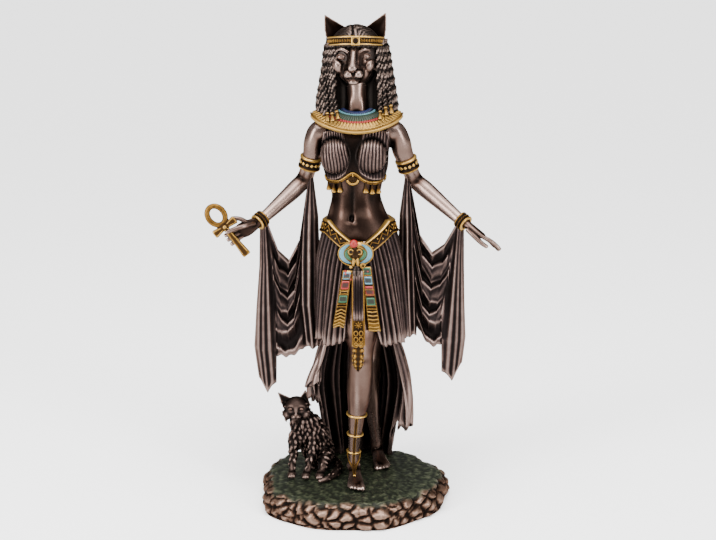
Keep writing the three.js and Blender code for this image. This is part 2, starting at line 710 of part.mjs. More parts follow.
function seatedCat() {
  const body = limb([
    [-21, 14, 16, 7.6, 7.6],
    [-21.4, 13.6, 23, 9.0, 9.4],
    [-23.6, 12, 31, 9.2, 9.2],
    [-27, 8.6, 39, 9.8, 8.6],
    [-30.2, 6.2, 46, 8.2, 7.2],
    [-32.6, 4.6, 52, 6.4, 6.0],
  ], { sides: 9, steps: 1 });
  const haunch = limb([
    [-18.4, 11, 25, 5.2, 7.8],
    [-17.8, 4.6, 23.4, 4.0, 6.4],
    [-19.4, -1.6, 18.6, 2.6, 3.0],
    [-20.6, -5.4, 17.2, 2.2, 2.0],
  ], { sides: 5, steps: 1 });
  const rightForeleg = limb([
    [-34.0, 4.6, 40, 4.4, 4.8],
    [-35.8, 2.6, 30, 3.0, 3.2],
    [-36.6, -0.4, 21, 2.2, 2.4],
    [-36.8, -3.0, 17, 2.6, 2.6],
  ], { sides: 5, steps: 1 });
  const leftForeleg = limb([
    [-25.0, 3.6, 37, 3.9, 4.2],
    [-25.0, 0.8, 29, 2.9, 3.1],
    [-27.0, -2.0, 21, 2.3, 2.5],
    [-28.4, -4.4, 17, 2.7, 2.7],
  ], { sides: 5, steps: 1 });
  const forelegs = [rightForeleg, leftForeleg];
  const paws = [[-36.8, -4.6], [-28.6, -6.0]].map(([x, y]) =>
    ball([x, y, 17], [2.7, 3.4, 2.2], [0, 0, 0], 6, 4));
  const skull = ball([-34.0, 2.8, 55.4], [8.6, 7.2, 7.6], [0, 0, 0.1], 9, 6);
  const muzzle = ball([-34.0, -3.6, 51.6], [3.8, 3.2, 2.9], [0, 0, 0], 6, 4);
  const ears = [
    ear([-35.5, 1.4, 61.8], [-42.2, 2.2, 55.0], [-46, 2, 65.6]),
    ear([-24.8, 2.2, 55.6], [-33.4, 1.4, 62], [-28.4, 0.6, 67.8]),
  ];
  const tail = limb([
    [-14, 18, 18.6, 2.6, 2.6],
    [-9.8, 9, 17.6, 2.4, 2.4],
    [-11.4, -3, 17, 2.2, 2.2],
    [-16, -10.6, 16.8, 1.9, 1.9],
    [-21, -14.8, 16.6, 1.2, 1.2],
  ], { sides: 5, steps: 1 });
  const soil = new THREE.BoxGeometry(100, 100, 40);
  soil.translate(-30, 0, CAT_GROUND - 20);
  return join([body, haunch, ...forelegs, ...paws, skull, muzzle, ...ears, tail]).subtract(solidOf(soil));
}

// The rocky ground

// A repeatable ripple between -1 and 1 for stones, from a few waves that don't share a period.
const ripple = (a, b, seed) =>
  (sin(a * 3.1 + seed) + sin(b * 2.3 + seed * 1.7 + a) + sin(a * 7.3 - b * 1.9 + seed * 0.6)) / 3;

function rockyBase() {
  const sides = 30;
  const profile = [[0.95, 0], [0.99, 3.4], [0.985, 8.5], [0.93, 12.6], [0.84, GROUND_Z], [0.3, GROUND_Z]];
  const rows = profile.map(([share, z], k) => {
    const row = [];
    for (let i = 0; i < sides; i++) {
      const a = (i / sides) * TAU;
      const power = sin(a) > 0 ? 2.15 : 2.45;
      const square = pow(pow(abs(cos(a)), power) + pow(abs(sin(a)), power), -1 / power);
      const lobes = 1 + 0.028 * sin(3 * a + 0.7) + 0.02 * sin(5 * a + 2.1) + 0.014 * sin(9 * a);
      const stone = k < 4 ? 0.022 * ripple(a * 4, z, 1.3) : 0;
      const r = square * lobes * (share + stone);
      const lift = k > 0 && k < 4 ? 0.8 * ripple(a * 5, k, 4.2) : 0;
      const [right, back] = [BASE_HALF_WIDTH * r * cos(a), BASE_HALF_DEPTH * r * sin(a)];
      row.push([BASE_CENTRE[0] + right, BASE_CENTRE[1] + back, z + lift]);
    }
    return row;
  });
  return skin(rows);
}

// The four castings

function mesh(name, made, colour, roughness, metalness) {
  const { numProp, numVert, vertProperties, triVerts } = made.getMesh();
  const place = new Float32Array(numVert * 3);
  for (let i = 0; i < numVert; i++) {
    place.set(vertProperties.subarray(i * numProp, i * numProp + 3), i * 3);
  }
  const geometry = new THREE.BufferGeometry();
  geometry.setAttribute('position', new THREE.BufferAttribute(place, 3));
  geometry.setIndex(new THREE.BufferAttribute(triVerts, 1));
  geometry.computeVertexNormals();
  const finish = new THREE.MeshStandardMaterial({ color: colour, roughness, metalness });
  const shown = new THREE.Mesh(geometry, finish);
  shown.name = name;
  return shown;
}

// The figure: the body, the hair and jewels, then the drapery. The hand leaves room for the ankh.
const figure = aboveGround(join([
  torso(), legs(), arms().subtract(ankhSolid(GLUE_GAP)), head(), wig(), headband(),
  collar(), bangles(), belt(), bodiceFringe(), buckle(), ribbons(),
  skirt(), train(), shawlWing(WINGS.right), shawlWing(WINGS.left),
]));

const statue = new THREE.Group();
statue.add(
  mesh('bastet_figure', figure, 0x5a4038, 0.35, 0.8),
  mesh('ankh', ankhSolid(), 0x9a7428, 0.4, 0.7),
  mesh('seated_cat', seatedCat(), 0x4a362f, 0.45, 0.7),
  mesh('rocky_base', rockyBase(), 0x3a332a, 0.6, 0.5),
);

export default statue;
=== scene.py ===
# %% [markdown]
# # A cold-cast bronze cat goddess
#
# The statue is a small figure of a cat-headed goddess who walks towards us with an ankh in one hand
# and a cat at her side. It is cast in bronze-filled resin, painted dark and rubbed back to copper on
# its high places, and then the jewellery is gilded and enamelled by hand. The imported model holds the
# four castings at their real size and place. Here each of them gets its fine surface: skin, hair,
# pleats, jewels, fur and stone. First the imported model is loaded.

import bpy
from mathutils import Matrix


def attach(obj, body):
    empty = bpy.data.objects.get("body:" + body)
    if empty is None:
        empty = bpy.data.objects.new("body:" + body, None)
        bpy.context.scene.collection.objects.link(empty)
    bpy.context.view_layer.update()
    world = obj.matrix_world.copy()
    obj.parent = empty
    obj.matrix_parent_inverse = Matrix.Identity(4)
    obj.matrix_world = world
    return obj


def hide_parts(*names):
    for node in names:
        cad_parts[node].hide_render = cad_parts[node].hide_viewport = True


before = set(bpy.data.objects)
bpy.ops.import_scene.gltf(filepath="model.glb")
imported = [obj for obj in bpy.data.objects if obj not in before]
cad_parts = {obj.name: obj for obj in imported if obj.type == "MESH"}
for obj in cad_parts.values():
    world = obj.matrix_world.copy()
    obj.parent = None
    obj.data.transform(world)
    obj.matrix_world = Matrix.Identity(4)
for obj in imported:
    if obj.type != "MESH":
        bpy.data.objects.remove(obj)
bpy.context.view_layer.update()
print("castings:", sorted(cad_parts))

# %% [markdown]
# The camera stands where the photographer stood: 0.7 m in front of the statue, a little above its
# head and tipped down. A lens of 64 mm on a 36 mm sensor fills the frame with the figure.

# %% Camera
import math

import bmesh
import bpy
import numpy as np
from mathutils import Matrix, Vector, noise

MM = 0.001
CAMERA_AT = (1.6 * MM, -700 * MM, 290 * MM)
CAMERA_PITCH = 12.3
LENS = 63.955

bpy.ops.object.select_all(action="DESELECT")
tip = (math.radians(90 - CAMERA_PITCH), 0, 0)
bpy.ops.object.camera_add(location=CAMERA_AT, rotation=tip)
camera = bpy.context.object
camera.name = "camera"
camera.data.lens = LENS
camera.data.sensor_width = 36
camera.data.clip_start = 0.01
bpy.context.scene.camera = camera
print("camera", [round(v, 4) for v in camera.location])

# %% [markdown]
# Polished dark metal shows its lights as highlights, so the lights decide how the form reads. Two
# tall soft boxes stand in front, left and right of the camera: they leave the pair of long
# highlights that run down every limb. A large one overhead lights shoulders, cheeks and the ground.
# The surroundings stay dim, which keeps the outlines of the figure dark.

# %% Lights, floor and surroundings
def soft_box(name, place, target, size, power):
    """A rectangular lamp of size (width, height) in metres that faces the target."""
    bpy.ops.object.light_add(type="AREA", location=place)
    lamp = bpy.context.object
    lamp.name = name
    lamp.data.shape = "RECTANGLE"
    lamp.data.size, lamp.data.size_y = size
    lamp.data.energy = power
    aim = Vector(target) - Vector(place)
    lamp.rotation_euler = aim.to_track_quat("-Z", "Y").to_euler()
    return lamp


CHEST = (0, 0, 0.16)
soft_box("left_soft_box", (-0.72, -0.62, 0.36), CHEST, (0.26, 0.62), 17)
soft_box("right_soft_box", (0.66, -0.7, 0.34), CHEST, (0.2, 0.62), 12)
soft_box("top_soft_box", (0.05, -0.4, 0.95), CHEST, (0.4, 0.3), 6)
bpy.ops.object.light_add(type="SUN", location=(0, -1, 2), rotation=(math.radians(24), 0, 0))
sun_light = bpy.context.object
sun_light.name = "ceiling"
sun_light.data.energy = 9
sun_light.data.angle = math.radians(80)

world = bpy.data.worlds.new("studio")
world.use_nodes = True
world.node_tree.nodes["Background"].inputs["Color"].default_value = (1.0, 0.99, 0.98, 1)
world.node_tree.nodes["Background"].inputs["Strength"].default_value = 0.3
bpy.context.scene.world = world

bpy.ops.mesh.primitive_plane_add(size=400, location=(0, 0, 0))
floor = bpy.context.object
floor.name = "floor"
floor.data.name = "floor"
paper = bpy.data.materials.new("white_paper")
paper.use_nodes = True
shader = paper.node_tree.nodes["Principled BSDF"]
shader.inputs["Base Color"].default_value = (0.93, 0.93, 0.93, 1)
shader.inputs["Roughness"].default_value = 0.9
shader.inputs["Specular IOR Level"].default_value = 0.1
floor.data.materials.append(paper)

# %% [markdown]
# The forms are worked out in millimetres, as the castings were. Three helpers carry most of them. A
# smooth curve runs through a few chosen points. A skin joins rows of points to a closed surface. And
# a sweep carries an oval section along a curve, which makes limbs, fingers, braids and wires alike.

# %% Curves, skins and sweeps
TAU = 2 * math.pi
FRONT = np.array([0.0, -1.0, 0.0])
GROUND = 15.0


def deselect():
    bpy.ops.object.select_all(action="DESELECT")


def curve(points, count, closed=False):
    """count points on a smooth curve through the given ones, even in its parameter."""
    p = np.asarray(points, float).reshape(len(points), -1)
    ends = (p[-1:], p[:2]) if closed else (2 * p[:1] - p[1:2], 2 * p[-1:] - p[-2:-1])
    spans = len(p) if closed else len(p) - 1
    q = np.vstack([ends[0], p, ends[1]])
    t = np.linspace(0, spans, count, endpoint=not closed)
    i = np.minimum(t.astype(int), spans - 1)
    f = (t - i)[:, None]
    a, b, c, d = (q[i + k] for k in range(4))
    cubic = (3 * b - a - 3 * c + d) * f**3
    return 0.5 * (2 * b + (c - a) * f + (2 * a - 5 * b + 4 * c - d) * f**2 + cubic)


def blend(a, b, t):
    return a + (b - a) * t


def ease(x, start, end):
    """0 before start, 1 after end, and smooth between them."""
    t = np.clip((np.asarray(x, float) - start) / (end - start), 0, 1)
    return t * t * (3 - 2 * t)


def unit(v):
    return v / np.maximum(np.linalg.norm(v, axis=-1, keepdims=True), 1e-9)


def new_piece(name, points, faces):
    """A mesh object from points in millimetres, with its faces turned outwards."""
    mesh = bpy.data.meshes.new(name)
    mesh.from_pydata((np.asarray(points) * MM).tolist(), [], faces)
    piece = bpy.data.objects.new(name, mesh)
    bpy.context.scene.collection.objects.link(piece)
    shell = bmesh.new()
    shell.from_mesh(mesh)
    bmesh.ops.recalc_face_normals(shell, faces=shell.faces)
    if shell.calc_volume(signed=True) < 0:
        bmesh.ops.reverse_faces(shell, faces=shell.faces)
    shell.to_mesh(mesh)
    shell.free()
    return piece


def skin(name, rows, closed=False, zipped=False):
    """A closed surface over rows of points, where each row is a loop. The rows close on each
    other, or the two end loops are filled: each by one face, or zipped where it is a flat loop."""
    rows = np.asarray(rows, float)
    count, around = rows.shape[:2]
    j, i = np.meshgrid(np.arange(count if closed else count - 1), np.arange(around), indexing="ij")
    k, up = (i + 1) % around, (j + 1) % count
    quads = np.stack([j * around + i, j * around + k, up * around + k, up * around + i], -1)
    faces = quads.reshape(-1, 4).tolist()
    if not closed:
        for start in (0, (count - 1) * around):
            loop = list(range(start, start + around))
            if zipped:
                half = around // 2
                faces += [[loop[n], loop[n + 1], loop[-2 - n], loop[-1 - n]] for n in range(half - 1)]
            else:
                faces.append(loop)
    return new_piece(name, rows.reshape(-1, 3), faces)


def sweep(name, stations, sides=12, rings=24, front=FRONT, closed=False, shape=None):
    """A tube of oval section through stations of (x, y, z, half width, half depth). shape may
    change its rows: it is given the share along the tube and the angle round it."""
    table = curve([list(s) + [s[-1]] * (5 - len(s)) for s in stations], rings, closed)
    path, size = table[:, :3], table[:, 3:5]
    if closed:
        tangent = unit(np.roll(path, -1, 0) - np.roll(path, 1, 0))
    else:
        tangent = unit(np.gradient(path, axis=0))
    side = unit(np.cross(tangent, np.asarray(front, float)))
    forward = np.cross(side, tangent)
    angle = np.linspace(0, TAU, sides, endpoint=False)[None, :]
    along = np.linspace(0, 1, rings)[:, None]
    reach = np.ones((rings, sides)) if shape is None else shape(along, angle)
    across = (np.cos(angle) * size[:, :1] * reach)[..., None] * side[:, None]
    ahead = (np.sin(angle) * size[:, 1:] * reach)[..., None] * forward[:, None]
    return skin(name, path[:, None] + across + ahead, closed)


def wire(name, points, radius, sides=8, rings=24, front=FRONT, closed=False):
    """A round wire through points."""
    return sweep(name, [(*p, radius, radius) for p in points], sides, rings, front, closed)


def ball(name, at, half, turn=(0, 0, 0), segments=28, rings=18):
    """A round ball stretched to half sizes, turned and placed."""
    deselect()
    bpy.ops.mesh.primitive_uv_sphere_add(
        segments=segments, ring_count=rings, radius=1,
        location=[v * MM for v in at], rotation=turn, scale=[v * MM for v in half])
    bpy.ops.object.transform_apply(location=True, rotation=True, scale=True)
    bpy.context.object.name = name
    return bpy.context.object


def modify(piece, kind, **settings):
    """Adds one modifier, sets it and applies it."""
    deselect()
    bpy.context.view_layer.objects.active = piece
    piece.select_set(True)
    modifier = piece.modifiers.new(kind.lower(), kind)
    for setting, value in settings.items():
        setattr(modifier, setting, value)
    bpy.ops.object.modifier_apply(modifier=modifier.name)


def joined(name, parts):
    """Several objects as one, each still a shell of its own."""
    deselect()
    for part in parts:
        part.select_set(True)
    bpy.context.view_layer.objects.active = parts[0]
    if len(parts) > 1:
        bpy.ops.object.join()
    parts[0].name = parts[0].data.name = name
    return parts[0]


def welded(name, parts, voxel, soften=3):
    """Several overlapping shells melted to one skin of even small faces, as clay is smoothed."""
    piece = joined(name, parts)
    modify(piece, "REMESH", mode="VOXEL", voxel_size=voxel * MM, use_smooth_shade=True)
    if soften:
        modify(piece, "SMOOTH", iterations=soften, factor=0.5)
    return piece


print("curve through three points:", curve([(0, 0), (1, 1), (2, 0)], 5).round(2).tolist())

# %% [markdown]
# A welded skin is then carved by moving its points in code, as a modelling tool would: each dab
# lifts or presses the surface round a place. Afterwards the weathering is measured. The difference
# between a point and the smoothed surface round it says whether it stands on a ridge or sits in a
# groove, and the finishes below read that as the attribute "wear": 0 in grooves, where the dark wash
# stays, and 1 on ridges, where it is rubbed off.

# %% Carving and weathering
def points_of(piece):
    flat = np.empty(len(piece.data.vertices) * 3)
    piece.data.vertices.foreach_get("co", flat)
    return flat.reshape(-1, 3) / MM


def normals_of(piece):
    flat = np.empty(len(piece.data.vertices) * 3)
    piece.data.vertices.foreach_get("normal", flat)
    return flat.reshape(-1, 3)


def place_points(piece, points):
    piece.data.vertices.foreach_set("co", (points * MM).ravel())
    piece.data.update()


def dab(piece, marks):
    """Each mark is (x, y, z, reach, height) or has three reaches: it lifts the skin by height."""
    points, out = points_of(piece), normals_of(piece)
    lift = np.zeros(len(points))
    for x, y, z, reach, height in marks:
        away = (points - (x, y, z)) / np.asarray(reach, float)
        lift += height * np.exp(-(away**2).sum(1))
    place_points(piece, points + out * lift[:, None])


def smoothed(piece, values, rounds):
    """Values at the points, averaged over their neighbours again and again."""
    count = len(piece.data.vertices)
    ends = np.empty(len(piece.data.edges) * 2, np.int64)
    piece.data.edges.foreach_get("vertices", ends)
    a, b = ends[0::2], ends[1::2]
    degree = np.maximum(np.bincount(a, minlength=count) + np.bincount(b, minlength=count), 1)
    values = np.array(values, float)
    for _ in range(rounds):
        values = np.stack([
            (np.bincount(a, values[b, k], count) + np.bincount(b, values[a, k], count)) / degree
            for k in range(values.shape[1])], 1)
    return values


def weather(piece, relief=0.1, rounds=10, shade=None):
    """Stores the attribute "wear": relief is the height in millimetres that is fully rubbed."""
    points = points_of(piece)
    height = ((points - smoothed(piece, points, rounds)) * normals_of(piece)).sum(1)
    height -= np.median(height)
    wear = 0.5 + 0.5 * np.tanh(height / relief)
    if shade is not None:
        wear = np.clip(wear + shade(points), 0, 1)
    layer = piece.data.attributes.get("wear") or piece.data.attributes.new("wear", "FLOAT", "POINT")
    layer.data.foreach_set("value", wear.astype(np.float32))


pieces = []


def finish_piece(piece, slot, finish, *replaced, smooth=True):
    """Gives a finished piece its material and the body that it rides on; slot is not used."""
    piece.data.materials.clear()
    piece.data.materials.append(finish)
    deselect()
    piece.select_set(True)
    bpy.context.view_layer.objects.active = piece
    if smooth:
        bpy.ops.object.shade_smooth()
    else:
        bpy.ops.object.shade_smooth_by_angle(angle=math.radians(35))
    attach(piece, "root")
    if replaced:
        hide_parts(*replaced)
    faces = sum(len(f.vertices) - 2 for f in piece.data.polygons)
    pieces.append((piece.name, faces))
    print(piece.name, faces, "triangles")
    return piece

# %% [markdown]
# The bronze finish has three layers: a near-black wash in the grooves, a warm brown body and copper
# that shows where it was rubbed. A colour ramp over "wear" holds the three, and two noises break it
# up, one of a few millimetres for blotches and one fine as the grain of the casting. The metal is
# darker at grazing angles, as waxed bronze is, so its edge tint is set low.

# %% Bronze, gilding and enamel
def link(tree, source, target):
    tree.links.new(source, target)


def noise_node(tree, place, scale, detail=3.0, roughness=0.6):
    node = tree.nodes.new("ShaderNodeTexNoise")
    node.inputs["Scale"].default_value = scale
    node.inputs["Detail"].default_value = detail
    node.inputs["Roughness"].default_value = roughness
    link(tree, place, node.inputs["Vector"])
    return node.outputs["Fac"]


def calc(tree, kind, a, b):
    """One maths node on two sockets or numbers."""
    node = tree.nodes.new("ShaderNodeMath")
    node.operation = kind
    for socket, value in zip(node.inputs, (a, b)):
        if isinstance(value, (int, float)):
            socket.default_value = value
        else:
            link(tree, value, socket)
    return node.outputs[0]


def ramp_node(tree, source, stops):
    """A colour ramp through stops of (place, colour)."""
    node = tree.nodes.new("ShaderNodeValToRGB")
    ramp = node.color_ramp
    while len(ramp.elements) < len(stops):
        ramp.elements.new(0.5)
    for element, (place, colour) in zip(ramp.elements, stops):
        element.position = place
        element.color = (*colour, 1)
    link(tree, source, node.inputs["Fac"])
    return node.outputs["Color"]


def patina(name, stops, rough=(0.5, 0.3), metallic=0.9, edge=0.35, blotch=0.35, coat=0.0, stretch=None,
           grain=0.06):
    """An aged finish: stops colour it from its grooves to its ridges, and rough is for both ends."""
    finish = bpy.data.materials.new(name)
    finish.use_nodes = True
    tree = finish.node_tree
    shader = tree.nodes["Principled BSDF"]
    place = tree.nodes.new("ShaderNodeTexCoord").outputs["Object"]
    if stretch:
        mapping = tree.nodes.new("ShaderNodeMapping")
        mapping.inputs["Scale"].default_value = stretch
        link(tree, place, mapping.inputs["Vector"])
        place = mapping.outputs["Vector"]
    wear = tree.nodes.new("ShaderNodeAttribute")
    wear.attribute_name = "wear"
    blotches = calc(tree, "MULTIPLY", calc(tree, "SUBTRACT", noise_node(tree, place, 210), 0.5), blotch)
    fine = noise_node(tree, place, 1500, 2.0)
    specks = calc(tree, "MULTIPLY", calc(tree, "SUBTRACT", fine, 0.5), blotch * 0.6)
    worn = calc(tree, "ADD", calc(tree, "ADD", wear.outputs["Fac"], blotches), specks)
    link(tree, ramp_node(tree, worn, stops), shader.inputs["Base Color"])
    gloss = calc(tree, "MULTIPLY", calc(tree, "SUBTRACT", 1.0, worn), rough[0] - rough[1])
    link(tree, calc(tree, "ADD", gloss, rough[1]), shader.inputs["Roughness"])
    bump = tree.nodes.new("ShaderNodeBump")
    bump.inputs["Strength"].default_value = grain
    bump.inputs["Distance"].default_value = 0.15 * MM
    link(tree, fine, bump.inputs["Height"])
    link(tree, bump.outputs["Normal"], shader.inputs["Normal"])
    shader.inputs["Metallic"].default_value = metallic
    shader.inputs["Specular Tint"].default_value = (edge, edge * 0.9, edge * 0.82, 1)
    shader.inputs["Coat Weight"].default_value = coat
    shader.inputs["Coat Roughness"].default_value = 0.25
    return finish


WASH = (0.0022, 0.0016, 0.0014)
skin_bronze = patina("skin_bronze", [
    (0.0, WASH), (0.3, (0.014, 0.0075, 0.0055)), (0.5, (0.062, 0.037, 0.0285)),
    (0.75, (0.11, 0.073, 0.06)), (1.0, (0.19, 0.135, 0.115))], rough=(0.36, 0.24), blotch=0.16)
cloth_bronze = patina("cloth_bronze", [
    (0.0, WASH), (0.3, (0.006, 0.0042, 0.0042)), (0.52, (0.02, 0.0135, 0.0125)),
    (0.75, (0.055, 0.036, 0.031)), (1.0, (0.13, 0.09, 0.078))], rough=(0.52, 0.36), blotch=0.3, edge=0.25)
hair_bronze = patina("hair_bronze", [
    (0.0, WASH), (0.35, (0.0055, 0.0046, 0.004)), (0.6, (0.021, 0.0155, 0.0135)),
    (1.0, (0.12, 0.085, 0.07))], rough=(0.5, 0.36), blotch=0.35, edge=0.3)
fur_bronze = patina("fur_bronze", [
    (0.0, WASH), (0.35, (0.006, 0.004, 0.0035)), (0.6, (0.022, 0.014, 0.0115)),
    (1.0, (0.1, 0.067, 0.056))], rough=(0.5, 0.36), blotch=0.3, edge=0.3)
old_gold = patina("old_gold", [
    (0.0, (0.004, 0.0022, 0.0012)), (0.35, (0.026, 0.012, 0.003)), (0.55, (0.12, 0.058, 0.0095)),
    (1.0, (0.32, 0.19, 0.05))], rough=(0.5, 0.34), metallic=0.85, edge=0.5, blotch=0.3)


def enamel(name, colour):
    """Hand-painted enamel: its colour, paler on the high places and dark where the wash stays."""
    pale = [min(1, c * 1.4 + 0.012) for c in colour]
    deep = [c * 0.25 for c in colour]
    return patina(name, [(0.0, WASH), (0.28, deep), (0.5, colour), (1.0, pale)],
                  rough=(0.5, 0.35), metallic=0.0, edge=0.6, blotch=0.3)


red_enamel = enamel("red_enamel", (0.14, 0.004, 0.004))
blue_enamel = enamel("blue_enamel", (0.006, 0.014, 0.06))
sky_enamel = enamel("sky_enamel", (0.045, 0.125, 0.16))
green_enamel = enamel("green_enamel", (0.006, 0.048, 0.02))
print("finishes", [m.name for m in bpy.data.materials])

# %% [markdown]
# The body is modelled as a sculptor blocks it out: an oval trunk that narrows at the waist, balls
# for the breasts and shoulders, and arms swept through shoulder, elbow and wrist. The shells are
# welded to one skin, and dabs then give it muscle: the groove down the belly, the navel, the ribs,
# the hip bones and the collar bones.

# %% The trunk and arms
TORSO = [
    (1.7, 1.6, 150, 20, 12.5), (1.5, 1.2, 160, 20.2, 12.4), (0.9, 0.0, 171, 16.0, 9.8),
    (0.6, -0.4, 180, 13.6, 8.7), (0.5, -0.2, 188, 15.0, 9.3), (0.3, 0.2, 196, 17.3, 10.2),
    (0.2, 0.6, 205, 18.2, 10.2), (0.5, 1.0, 213, 19.6, 9.0), (0.7, 1.5, 218.5, 17.2, 7.4),
    (0.8, 1.6, 223, 11.2, 6.3), (0.9, 0.8, 230, 6.0, 5.5), (0.9, 0.0, 245, 5.5, 5.5)]
CHEST_X = -1.2
RIGHT_ARM = [
    (-15.5, 1.5, 216.5, 5.4, 5.6), (-20.0, 1.6, 215.4, 5.8, 6.0), (-22.7, 2.2, 210, 5.6, 5.8),
    (-24.0, 3.6, 203, 5.0, 5.0), (-25.8, 6.0, 195.5, 4.5, 4.5), (-28.6, 9.6, 187.8, 4.6, 4.2),
    (-34.0, 6.2, 182.2, 4.8, 4.3), (-41.2, -0.4, 176.2, 4.1, 3.5), (-48.6, -7.6, 170.2, 3.4, 2.5),
    (-51.6, -9.8, 168.0, 3.2, 2.4)]
LEFT_ARM = [
    (17.0, 1.5, 216.5, 5.4, 5.6), (21.8, 1.6, 215.4, 5.8, 6.0), (24.8, 2.2, 210, 5.8, 5.8),
    (26.4, 3.4, 204, 5.6, 5.2), (30.0, 6.0, 195, 4.6, 4.5), (33.8, 9.6, 187, 4.6, 4.2),
    (39.8, 6.2, 182.0, 4.8, 4.3), (48.4, -0.8, 175.2, 4.1, 3.5), (57.0, -8.0, 168.4, 3.4, 2.5),
    (60.0, -9.6, 166.2, 3.2, 2.4)]
BODY_VOXEL = 0.66

trunk = sweep("trunk", TORSO, 72, 150)
breasts = [ball("breast", (CHEST_X + s * 9.4, -6.4, 202.6), (8.5, 7.6, 9.2)) for s in (-1, 1)]
shoulders = [ball("shoulder", (x, 1.6, 214.6), (6.0, 6.2, 6.0)) for x in (-19.2, 20.8)]
arms = [sweep("arm", arm, 40, 110) for arm in (RIGHT_ARM, LEFT_ARM)]
body = welded("body", [trunk, *breasts, *shoulders, *arms], BODY_VOXEL, 6)
dab(body, [
    (-1.4, -9, 186, (1.6, 4, 12), -0.55), (-1.6, -11, 176, (1.3, 4, 7), -0.35),
    (-7.0, -9, 184, (3.6, 5, 10), 0.35), (4.6, -9, 184, (3.6, 5, 10), 0.35),
    (-11.0, -6, 186, (2.2, 4, 9), -0.35), (9.4, -6, 186, (2.2, 4, 9), -0.35),
    (-7.4, -11, 169.5, (5.2, 6, 5.5), 0.7), (6.2, -11, 170.5, (6.5, 6, 5.5), 0.85),
    (-1.0, -11, 162.5, (7, 6, 4.5), 0.5), (-14.5, -5, 174, (3.2, 4, 4.5), 0.5),
    (16.5, -5, 175.5, (3.2, 4, 4.5), 0.5)])
dab(body, [
    (-1.9, -11, 168.6, (1.15, 3, 1.9), -2.3), (-1.9, -11, 166.2, (2.4, 3, 0.9), 0.5),
    (-0.1, -11, 168.4, (0.9, 3, 2.2), 0.45)])
dab(body, [
    (0.9, -5.5, 236, (2.2, 3, 7), 0.4), (-2.6, -5, 230, (1.2, 3, 4), 0.5), (4.2, -5, 230, (1.2, 3, 4), 0.5),
    (0.8, -6, 226.5, (1.6, 3, 1.6), -0.7)])
weather(body, relief=0.4, rounds=40)
finish_piece(body, "figure_bronze", skin_bronze)

# %% [markdown]
# A hand is a flat oval palm with fingers swept through their knuckles. Each finger swells at the
# joints and ends in a rounded tip. The open left hand points down and out with its thumb below. The
# right hand is closed on the ankh: three fingers pass behind the stem, the index finger lies above
# and the thumb crosses in front.

# %% The hands
HAND_VOXEL = 0.32


def finger(points, thick):
    """A finger through its joints, knuckle first, with swollen joints and a round tip."""
    stations = []
    for k, (x, y, z) in enumerate(points):
        size = thick * (1.0, 0.98, 0.86, 0.72)[min(k, 3)]
        stations.append((x, y, z, size, size))
    before, last = np.array(points[-2], float), np.array(points[-1], float)
    end = last + unit(last - before) * thick * 0.55
    stations.append((*end, thick * 0.25, thick * 0.25))
    return sweep("finger", stations, 14, 28)


def open_hand():
    palm = sweep("palm", [
        (57.6, -8.4, 168.2, 2.9, 2.5), (60.4, -9.7, 166.2, 2.5, 2.6), (63.6, -10.7, 163.8, 2.3, 3.4),
        (67.4, -11.6, 161.2, 1.9, 4.1), (70.4, -12, 159.2, 1.5, 4.1), (71.6, -12.1, 158.2, 0.7, 3.4)],
        28, 40)
    tips = [(78.9, 153.2), (79.7, 152.0), (79.2, 151.2), (77.2, 152.6)]
    parts = [palm]
    for k, (x, z) in enumerate(tips):
        y = -15.3 + 2.15 * k
        middle = (blend(69.2, x, 0.55), y - 0.1, blend(159.7 - 0.25 * k, z, 0.5) + 0.5)
        parts.append(finger([(68.6, y + 0.5, 160.0 - 0.3 * k), middle, (x, y + 0.1, z)], 1.12))
    parts.append(finger([(61.6, -12.4, 163.2), (65.6, -14.8, 159.4), (69.2, -15.8, 156.0),
                         (72.2, -15.8, 153.9)], 1.5))
    return welded("left_hand", parts, HAND_VOXEL, 2)


def gripping_hand():
    palm = sweep("palm", [
        (-49.6, -8.6, 169.4, 2.7, 2.6), (-52.6, -9.8, 167.2, 2.8, 2.4), (-55.8, -10.2, 165.4, 3.6, 2.4),
        (-60, -10.4, 163.0, 4.4, 2.2), (-63.4, -10.8, 161.6, 4.0, 1.7), (-64.6, -10.9, 161.1, 2.6, 1.1)],
        28, 40)
    tips = [(-71.2, 159.6), (-69.9, 157.0), (-68.0, 154.6)]
    parts = [palm]
    for k, (x, z) in enumerate(tips):
        middle = (-67.0 + 0.8 * k, -12.2, 161.8 - 2.5 * k)
        parts.append(finger([(-61.4, -10.8, 164.0 - 2.3 * k), middle, (x, -13.0, z)], 1.28))
    parts.append(finger([(-58.4, -10.6, 165.8), (-62.6, -11.4, 168.4), (-66.6, -12.2, 169.2)], 1.3))
    parts.append(finger([(-55.2, -12, 166.2), (-60.2, -16.6, 165.6), (-65.2, -18.6, 164.4),
                         (-69.8, -19.0, 162.6)], 1.5))
    return welded("right_hand", parts, HAND_VOXEL, 2)


for hand in (open_hand(), gripping_hand()):
    weather(hand, relief=0.16, rounds=12)
    finish_piece(hand, "figure_bronze", skin_bronze)

# %% [markdown]
# The legs are swept too, with the knee, calf and shin as changes of width and small dabs. The right
# leg strides to the front through the parted skirt and the left leg follows behind. A foot is a
# wedge with an arched instep and five toes, of which the big one is nearly twice as thick.

